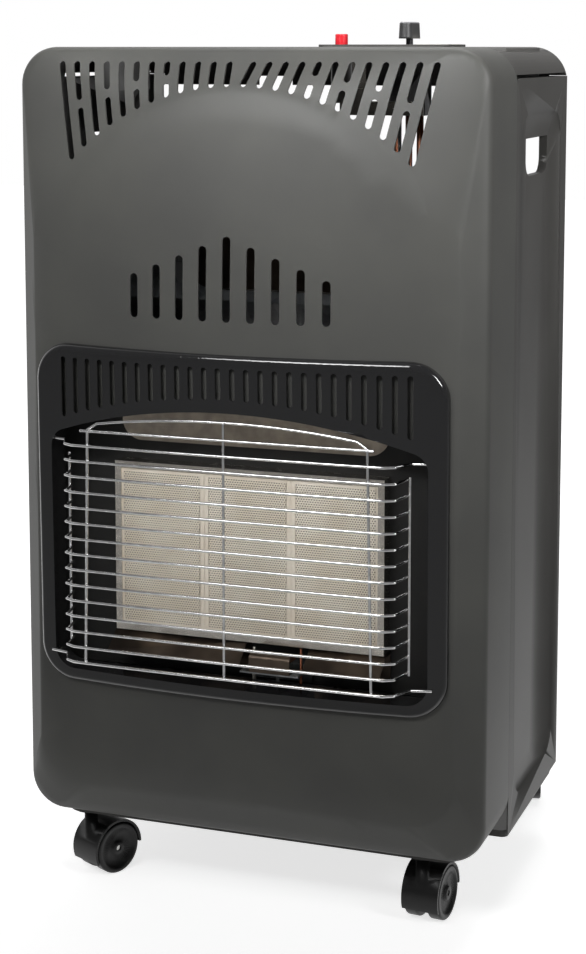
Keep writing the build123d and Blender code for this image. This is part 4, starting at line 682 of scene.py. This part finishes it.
guard = link(bpy.data.objects.new("guard_wires", join_meshes("guard_wires", [
    wire_rows("levels", level_path(GUARD_FIRST_Z + GUARD_PITCH, False), GUARD_LEVELS - 2,
              (0, 0, GUARD_PITCH)),
    wire_rows("hooked_levels", level_path(GUARD_FIRST_Z, True), 2, (0, 0, span)),
    wire_rows("frame_wire", frame_wire),
    wire_rows("middle_upright", middle_wire),
    wire_rows("extra_level", short_level),
    wire_rows("side_uprights", side_wire, 2, (2 * side_x, 0, 0)),
])))
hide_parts("wire_guard")
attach(guard, "cabinet")
print("guard:", len(guard.data.polygons), "faces")

# %% [markdown]
# ## Perforated plaques
# A ceramic plaque is pierced by rows of fine bores, through which the gas burns at the surface. Every
# second row is offset by half a pitch. A bump could fake the bores, but from close by it stays flat. The tree
# lays out a grid of points, shifts every second row, and sets one small pit with a few faces on each point.
# A plate with a smooth border carries them.

# %% Plaque tree
PLAQUE_W = 77.7
PLAQUE_H = 140.0
PLAQUE_T = 14.0
PLAQUE_LOW_Z = 245.0
PLAQUE_FRONT_Y = -3.0
PLAQUE_PITCH = 78.0
PIT_PITCH_X = 2.25
PIT_PITCH_Z = 1.95
PIT_MARGIN_X = 3.6
PIT_MARGIN_Z = 4.5


def plaque_tree():
    tree, given, out = new_tree("plaque_face", (
        ("Columns", "NodeSocketInt"), ("Rows", "NodeSocketInt"), ("Pitch X", "NodeSocketFloat"),
        ("Pitch Z", "NodeSocketFloat"), ("Corner", "NodeSocketVector"),
        ("Face material", "NodeSocketMaterial"), ("Bore material", "NodeSocketMaterial")))
    total = add(tree, "ShaderNodeMath", {"operation": "MULTIPLY"},
                {0: given.outputs["Columns"], 1: given.outputs["Rows"]})
    line = add(tree, "GeometryNodeMeshLine", inputs={"Count": total.outputs[0], "Offset": (0, 0, 0)})
    index = add(tree, "GeometryNodeInputIndex")
    column = add(tree, "ShaderNodeMath", {"operation": "MODULO"},
                 {0: index.outputs["Index"], 1: given.outputs["Columns"]})
    row_number = add(tree, "ShaderNodeMath", {"operation": "DIVIDE"},
                     {0: index.outputs["Index"], 1: given.outputs["Columns"]})
    row = add(tree, "ShaderNodeMath", {"operation": "FLOOR"}, {0: row_number.outputs[0]})
    odd = add(tree, "ShaderNodeMath", {"operation": "MODULO"}, {0: row.outputs[0], 1: 2.0})
    shifted = add(tree, "ShaderNodeMath", {"operation": "MULTIPLY_ADD"},
                  {0: odd.outputs[0], 1: 0.5, 2: column.outputs[0]})
    x = add(tree, "ShaderNodeMath", {"operation": "MULTIPLY"},
            {0: shifted.outputs[0], 1: given.outputs["Pitch X"]})
    z = add(tree, "ShaderNodeMath", {"operation": "MULTIPLY"},
            {0: row.outputs[0], 1: given.outputs["Pitch Z"]})
    place = add(tree, "ShaderNodeCombineXYZ", inputs={"X": x.outputs[0], "Z": z.outputs[0]})
    moved = add(tree, "ShaderNodeVectorMath", {"operation": "ADD"},
                {0: place.outputs[0], 1: given.outputs["Corner"]})
    spots = add(tree, "GeometryNodeSetPosition",
                inputs={"Geometry": line.outputs["Mesh"], "Position": moved.outputs[0]})
    pits = add(tree, "GeometryNodeInstanceOnPoints",
               inputs={"Points": spots.outputs["Geometry"], "Instance": given.outputs["Geometry"]})
    real = add(tree, "GeometryNodeRealizeInstances", inputs={"Geometry": pits.outputs["Instances"]})
    slot_number = add(tree, "GeometryNodeInputMaterialIndex")
    in_bore = add(tree, "FunctionNodeCompare", {"data_type": "INT", "operation": "EQUAL"},
                  {2: slot_number.outputs[0], 3: 1})
    on_face = add(tree, "FunctionNodeBooleanMath", {"operation": "NOT"}, {0: in_bore.outputs[0]})
    faced = add(tree, "GeometryNodeSetMaterial", inputs={
        "Geometry": real.outputs["Geometry"], "Selection": on_face.outputs[0],
        "Material": given.outputs["Face material"]})
    bored = add(tree, "GeometryNodeSetMaterial", inputs={
        "Geometry": faced.outputs["Geometry"], "Selection": in_bore.outputs[0],
        "Material": given.outputs["Bore material"]})
    tree.links.new(bored.outputs["Geometry"], out.inputs["Geometry"])
    return tree


PLAQUE_FACE = plaque_tree()
print(PLAQUE_FACE.name, len(PLAQUE_FACE.nodes), "nodes")

# %% [markdown]
# The pit is a rectangle of the face, one pitch wide and high, with a hexagonal bore sunk into it. Laid side
# by side, the rectangles make up the pierced field without a gap. Bore walls and floor are painted darker, as
# shade.

# %% One pit
BORE_R = 0.62
BORE_DEPTH = 1.6
BORE_TAPER = 0.8


def pit_object():
    half_x = PIT_PITCH_X / 2 * MM
    half_z = PIT_PITCH_Z / 2 * MM
    bore = BORE_R * MM
    depth = BORE_DEPTH * MM
    work = bmesh.new()
    ring = [work.verts.new((bore * cos(pi / 3 * k), 0, bore * sin(pi / 3 * k))) for k in range(6)]
    deep = [work.verts.new((v.co.x * BORE_TAPER, depth, v.co.z * BORE_TAPER)) for v in ring]
    rim = [work.verts.new((half_x, 0, 0)), work.verts.new((half_x, 0, half_z)),
           work.verts.new((-half_x, 0, half_z)), work.verts.new((-half_x, 0, 0)),
           work.verts.new((-half_x, 0, -half_z)), work.verts.new((half_x, 0, -half_z))]
    # Painted shade: the bore walls and floor take the dark second material.
    for k in range(6):
        n = (k + 1) % 6
        work.faces.new((rim[k], rim[n], ring[n], ring[k]))
        wall = work.faces.new((ring[k], ring[n], deep[n], deep[k]))
        wall.material_index = 1
    floor = work.faces.new(deep)
    floor.material_index = 1
    for face in work.faces:
        face.normal_update()
    low = [f for f in work.faces if f.normal.y > 0.5]
    bmesh.ops.reverse_faces(work, faces=low)
    mesh = bpy.data.meshes.new("pit")
    work.to_mesh(mesh)
    work.free()
    mesh.materials.append(ceramic)
    mesh.materials.append(bore_shade_ceramic)
    return link(bpy.data.objects.new("pit", mesh))


print("a pit is", PIT_PITCH_X, "by", PIT_PITCH_Z, "mm")

# %% [markdown]
# Each plaque is a plate with a window for its pierced field. A lip runs into the depth of the bores round
# the window, so nothing can be seen between the field and the plate.

# %% Plaques
LIP_DEPTH = 1.65           # just more than the bores' depth


def plaque(node, middle_x):
    """Builds the pierced plaque that stands for a node, and returns its number of bores."""
    columns = int((PLAQUE_W - 2 * PIT_MARGIN_X) / PIT_PITCH_X)
    rows = int((PLAQUE_H - 2 * PIT_MARGIN_Z) / PIT_PITCH_Z)
    half_w = columns * PIT_PITCH_X / 2
    low_z = PLAQUE_LOW_Z + PLAQUE_H / 2 - rows * PIT_PITCH_Z / 2
    first_pit = ((middle_x - half_w + PIT_PITCH_X / 4) * MM, (PLAQUE_FRONT_Y + RIM_Y) * MM,
                 (low_z + PIT_PITCH_Z / 2) * MM)
    field = run_tree(pit_object(), PLAQUE_FACE, {
        "Columns": columns, "Rows": rows, "Pitch X": PIT_PITCH_X * MM, "Pitch Z": PIT_PITCH_Z * MM,
        "Corner": first_pit, "Face material": ceramic, "Bore material": bore_shade_ceramic}, node + "_field")
    work = bmesh.new()
    work.from_mesh(field)
    x0, x1 = (middle_x - PLAQUE_W / 2) * MM, (middle_x + PLAQUE_W / 2) * MM
    z0, z1 = PLAQUE_LOW_Z * MM, (PLAQUE_LOW_Z + PLAQUE_H) * MM
    y0, y1 = (PLAQUE_FRONT_Y + RIM_Y) * MM, (PLAQUE_FRONT_Y + PLAQUE_T + RIM_Y) * MM
    field_half = half_w + PIT_PITCH_X / 4
    gx0, gx1 = (middle_x - field_half) * MM, (middle_x + field_half) * MM
    gz0, gz1 = low_z * MM, (low_z + rows * PIT_PITCH_Z) * MM
    outer = [work.verts.new(p) for p in ((x0, y0, z0), (x1, y0, z0), (x1, y0, z1), (x0, y0, z1))]
    inner = [work.verts.new(p) for p in ((gx0, y0, gz0), (gx1, y0, gz0), (gx1, y0, gz1), (gx0, y0, gz1))]
    back = [work.verts.new((v.co.x, y1, v.co.z)) for v in outer]
    lip = [work.verts.new((v.co.x, y0 + LIP_DEPTH * MM, v.co.z)) for v in inner]
    for k in range(4):
        n = (k + 1) % 4
        work.faces.new((outer[k], outer[n], inner[n], inner[k]))
        work.faces.new((outer[n], outer[k], back[k], back[n]))
        work.faces.new((inner[k], inner[n], lip[n], lip[k]))
    work.faces.new(reversed(back))
    work.faces.new(lip)
    mesh = bpy.data.meshes.new(node + "_pierced")
    work.to_mesh(mesh)
    work.free()
    mesh.materials.append(ceramic)
    mesh.materials.append(bore_shade_ceramic)
    piece = link(bpy.data.objects.new(node + "_pierced", mesh))
    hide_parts(node)
    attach(piece, "cabinet")
    return columns * rows


bores = sum(plaque("plaque_" + name, (i - 1) * PLAQUE_PITCH) for i, name in enumerate(PLACES))
print("plaques:", bores, "bores")

# %% [markdown]
# ## Floor and room
# The floor and the room look plain white to the camera from every side, and the floor takes the object's
# shadow. In reflections the white paper ends a little way in front of the heater and to its right, as a
# studio does behind the camera. That dark part gives the enamel, the chrome and the satin coat contrast.
# Brighter lamps could whiten the floor too, but they would wash out the heater. So the floor and the world
# glow only for the rays that look at them.

# %% Rays that look at the surroundings
def seen_directly(tree):
    """Two masks: rays of the camera and through glass, and those with the mirror rays added."""
    rays = add(tree, "ShaderNodeLightPath")
    clear = add(tree, "ShaderNodeMath", {"operation": "MAXIMUM"},
                {0: rays.outputs["Is Camera Ray"], 1: rays.outputs["Is Transmission Ray"]})
    shown = add(tree, "ShaderNodeMath", {"operation": "MAXIMUM"},
                {0: clear.outputs[0], 1: rays.outputs["Is Glossy Ray"]})
    return clear.outputs[0], shown.outputs[0]


print("ray masks ready")

# %% [markdown]
# The floor glows fully far away and a little less near the heater, so that the shadow stays to be seen. Its
# own colour stays the shader's plain pale grey. The glow also shows in mirror rays, but only where the paper
# lies: behind the front edge and left of the right one.

# %% Floor
FLOOR_HALF = 8.0
FLOOR_GLOW = 0.72
GLOW_FROM, GLOW_FULL = 0.6, 1.8            # metres from the heater's middle
PAPER_FRONT = (-0.42, -0.27)
PAPER_RIGHT = (0.32, 0.5)


def stage_floor():
    mesh = bpy.data.meshes.new("floor")
    half = FLOOR_HALF
    mesh.from_pydata([(-half, -half, 0), (half, -half, 0), (half, half, 0), (-half, half, 0)], [],
                     [(0, 1, 2, 3)])
    material, tree, shader = new_material("white_floor")
    clear, shown = seen_directly(tree)
    place = add(tree, "ShaderNodeTexCoord")
    axes = add(tree, "ShaderNodeSeparateXYZ", inputs={"Vector": place.outputs["Object"]})
    front = add(tree, "ShaderNodeMapRange", inputs={
        "Value": axes.outputs["Y"], "From Min": PAPER_FRONT[0], "From Max": PAPER_FRONT[1],
        "To Min": 0.0, "To Max": 1.0})
    right = add(tree, "ShaderNodeMapRange", inputs={
        "Value": axes.outputs["X"], "From Min": PAPER_RIGHT[0], "From Max": PAPER_RIGHT[1],
        "To Min": 1.0, "To Max": 0.0})
    on_paper = add(tree, "ShaderNodeMath", {"operation": "MULTIPLY"},
                   {0: front.outputs["Result"], 1: right.outputs["Result"]})
    pale = add(tree, "ShaderNodeMath", {"operation": "MAXIMUM"}, {0: clear, 1: on_paper.outputs[0]})
    lit = add(tree, "ShaderNodeMath", {"operation": "MULTIPLY"}, {0: shown, 1: pale.outputs[0]})
    reach = add(tree, "ShaderNodeVectorMath", {"operation": "LENGTH"}, {0: place.outputs["Object"]})
    far = add(tree, "ShaderNodeMapRange", inputs={
        "Value": reach.outputs["Value"], "From Min": GLOW_FROM, "From Max": GLOW_FULL,
        "To Min": FLOOR_GLOW, "To Max": 1.0})
    glow = add(tree, "ShaderNodeMath", {"operation": "MULTIPLY"},
               {0: lit.outputs[0], 1: far.outputs["Result"]})
    shader.inputs["Emission Color"].default_value = (1, 1, 1, 1)
    tree.links.new(glow.outputs[0], shader.inputs["Emission Strength"])
    shader.inputs["Roughness"].default_value = 1.0
    shader.inputs["Specular IOR Level"].default_value = 0.0
    mesh.materials.append(material)
    link(bpy.data.objects.new("floor", mesh))


stage_floor()
print("floor is", 2 * FLOOR_HALF, "m wide")

# %% [markdown]
# The world is white for the camera. For mirror rays and for the light it gives, it is bright only behind the
# heater and to its left, and dim everywhere else.

# %% Room
ROOM_LIGHT = 0.6           # the light it gives, as a share of how bright it looks
ROOM_DARK = 0.2
BEHIND = (-0.3, 0.4)       # the directions between which it changes
RIGHT_END = (-0.3, 0.15)


def studio_world():
    world = bpy.data.worlds.new("studio")
    bpy.context.scene.world = world
    world.use_nodes = True
    tree = world.node_tree
    tree.nodes.clear()
    clear, shown = seen_directly(tree)
    place = add(tree, "ShaderNodeTexCoord")
    axes = add(tree, "ShaderNodeSeparateXYZ", inputs={"Vector": place.outputs["Generated"]})
    behind_it = add(tree, "ShaderNodeMapRange", inputs={
        "Value": axes.outputs["Y"], "From Min": BEHIND[0], "From Max": BEHIND[1],
        "To Min": ROOM_DARK, "To Max": 1.0})
    right_end = add(tree, "ShaderNodeMapRange", inputs={
        "Value": axes.outputs["X"], "From Min": RIGHT_END[0], "From Max": RIGHT_END[1],
        "To Min": 1.0, "To Max": ROOM_DARK})
    room = add(tree, "ShaderNodeMath", {"operation": "MINIMUM"},
               {0: behind_it.outputs["Result"], 1: right_end.outputs["Result"]})
    share = add(tree, "ShaderNodeMapRange", inputs={"Value": shown, "To Min": ROOM_LIGHT, "To Max": 1.0})
    lit = add(tree, "ShaderNodeMath", {"operation": "MULTIPLY"},
              {0: room.outputs[0], 1: share.outputs["Result"]})
    strength = add(tree, "ShaderNodeMath", {"operation": "MAXIMUM"}, {0: lit.outputs[0], 1: clear})
    background = add(tree, "ShaderNodeBackground",
                     inputs={"Color": (1, 1, 1, 1), "Strength": strength.outputs[0]})
    add(tree, "ShaderNodeOutputWorld", inputs={"Surface": background.outputs["Background"]})


studio_world()
print("world:", bpy.context.scene.world.name)

# %% [markdown]
# ## Lamps
# Three soft lamps light the heater. The key hangs above and in front, so the upper half of the bulged face
# is the lightest part and the lower front falls into shade. A weaker one on the right draws the right flank,
# and one above gives the top its pale sheen. A narrow beam gathers the light of a lamp, so it needs few
# watts. Sun lamps would be simpler, but their hard shadows would hide the presswork.

# %% Lamps
def softbox(name, place, aim, size, watts, beam=180):
    """An area lamp, in metres and watts, that looks at a point; its beam is in degrees."""
    lamp = bpy.data.lights.new(name, "AREA")
    lamp.shape = "RECTANGLE"
    lamp.size, lamp.size_y = size
    lamp.energy = watts
    lamp.spread = radians(beam)
    obj = link(bpy.data.objects.new(name, lamp))
    obj.location = place
    obj.rotation_euler = (Vector(aim) - Vector(place)).to_track_quat("-Z", "Y").to_euler()


softbox("key", (-0.2, -1.45, 1.65), (0.0, -0.15, 1.0), (1.1, 0.8), 6.1, beam=53)
softbox("right", (1.45, -0.8, 1.2), (0.2, 0.0, 0.85), (0.35, 0.6), 3.0, beam=60)
softbox("top", (0.1, 0.4, 2.0), (0, 0, 0.7), (1.2, 0.8), 12)
bpy.context.scene.view_settings.view_transform = "Standard"
print("lamps ready")
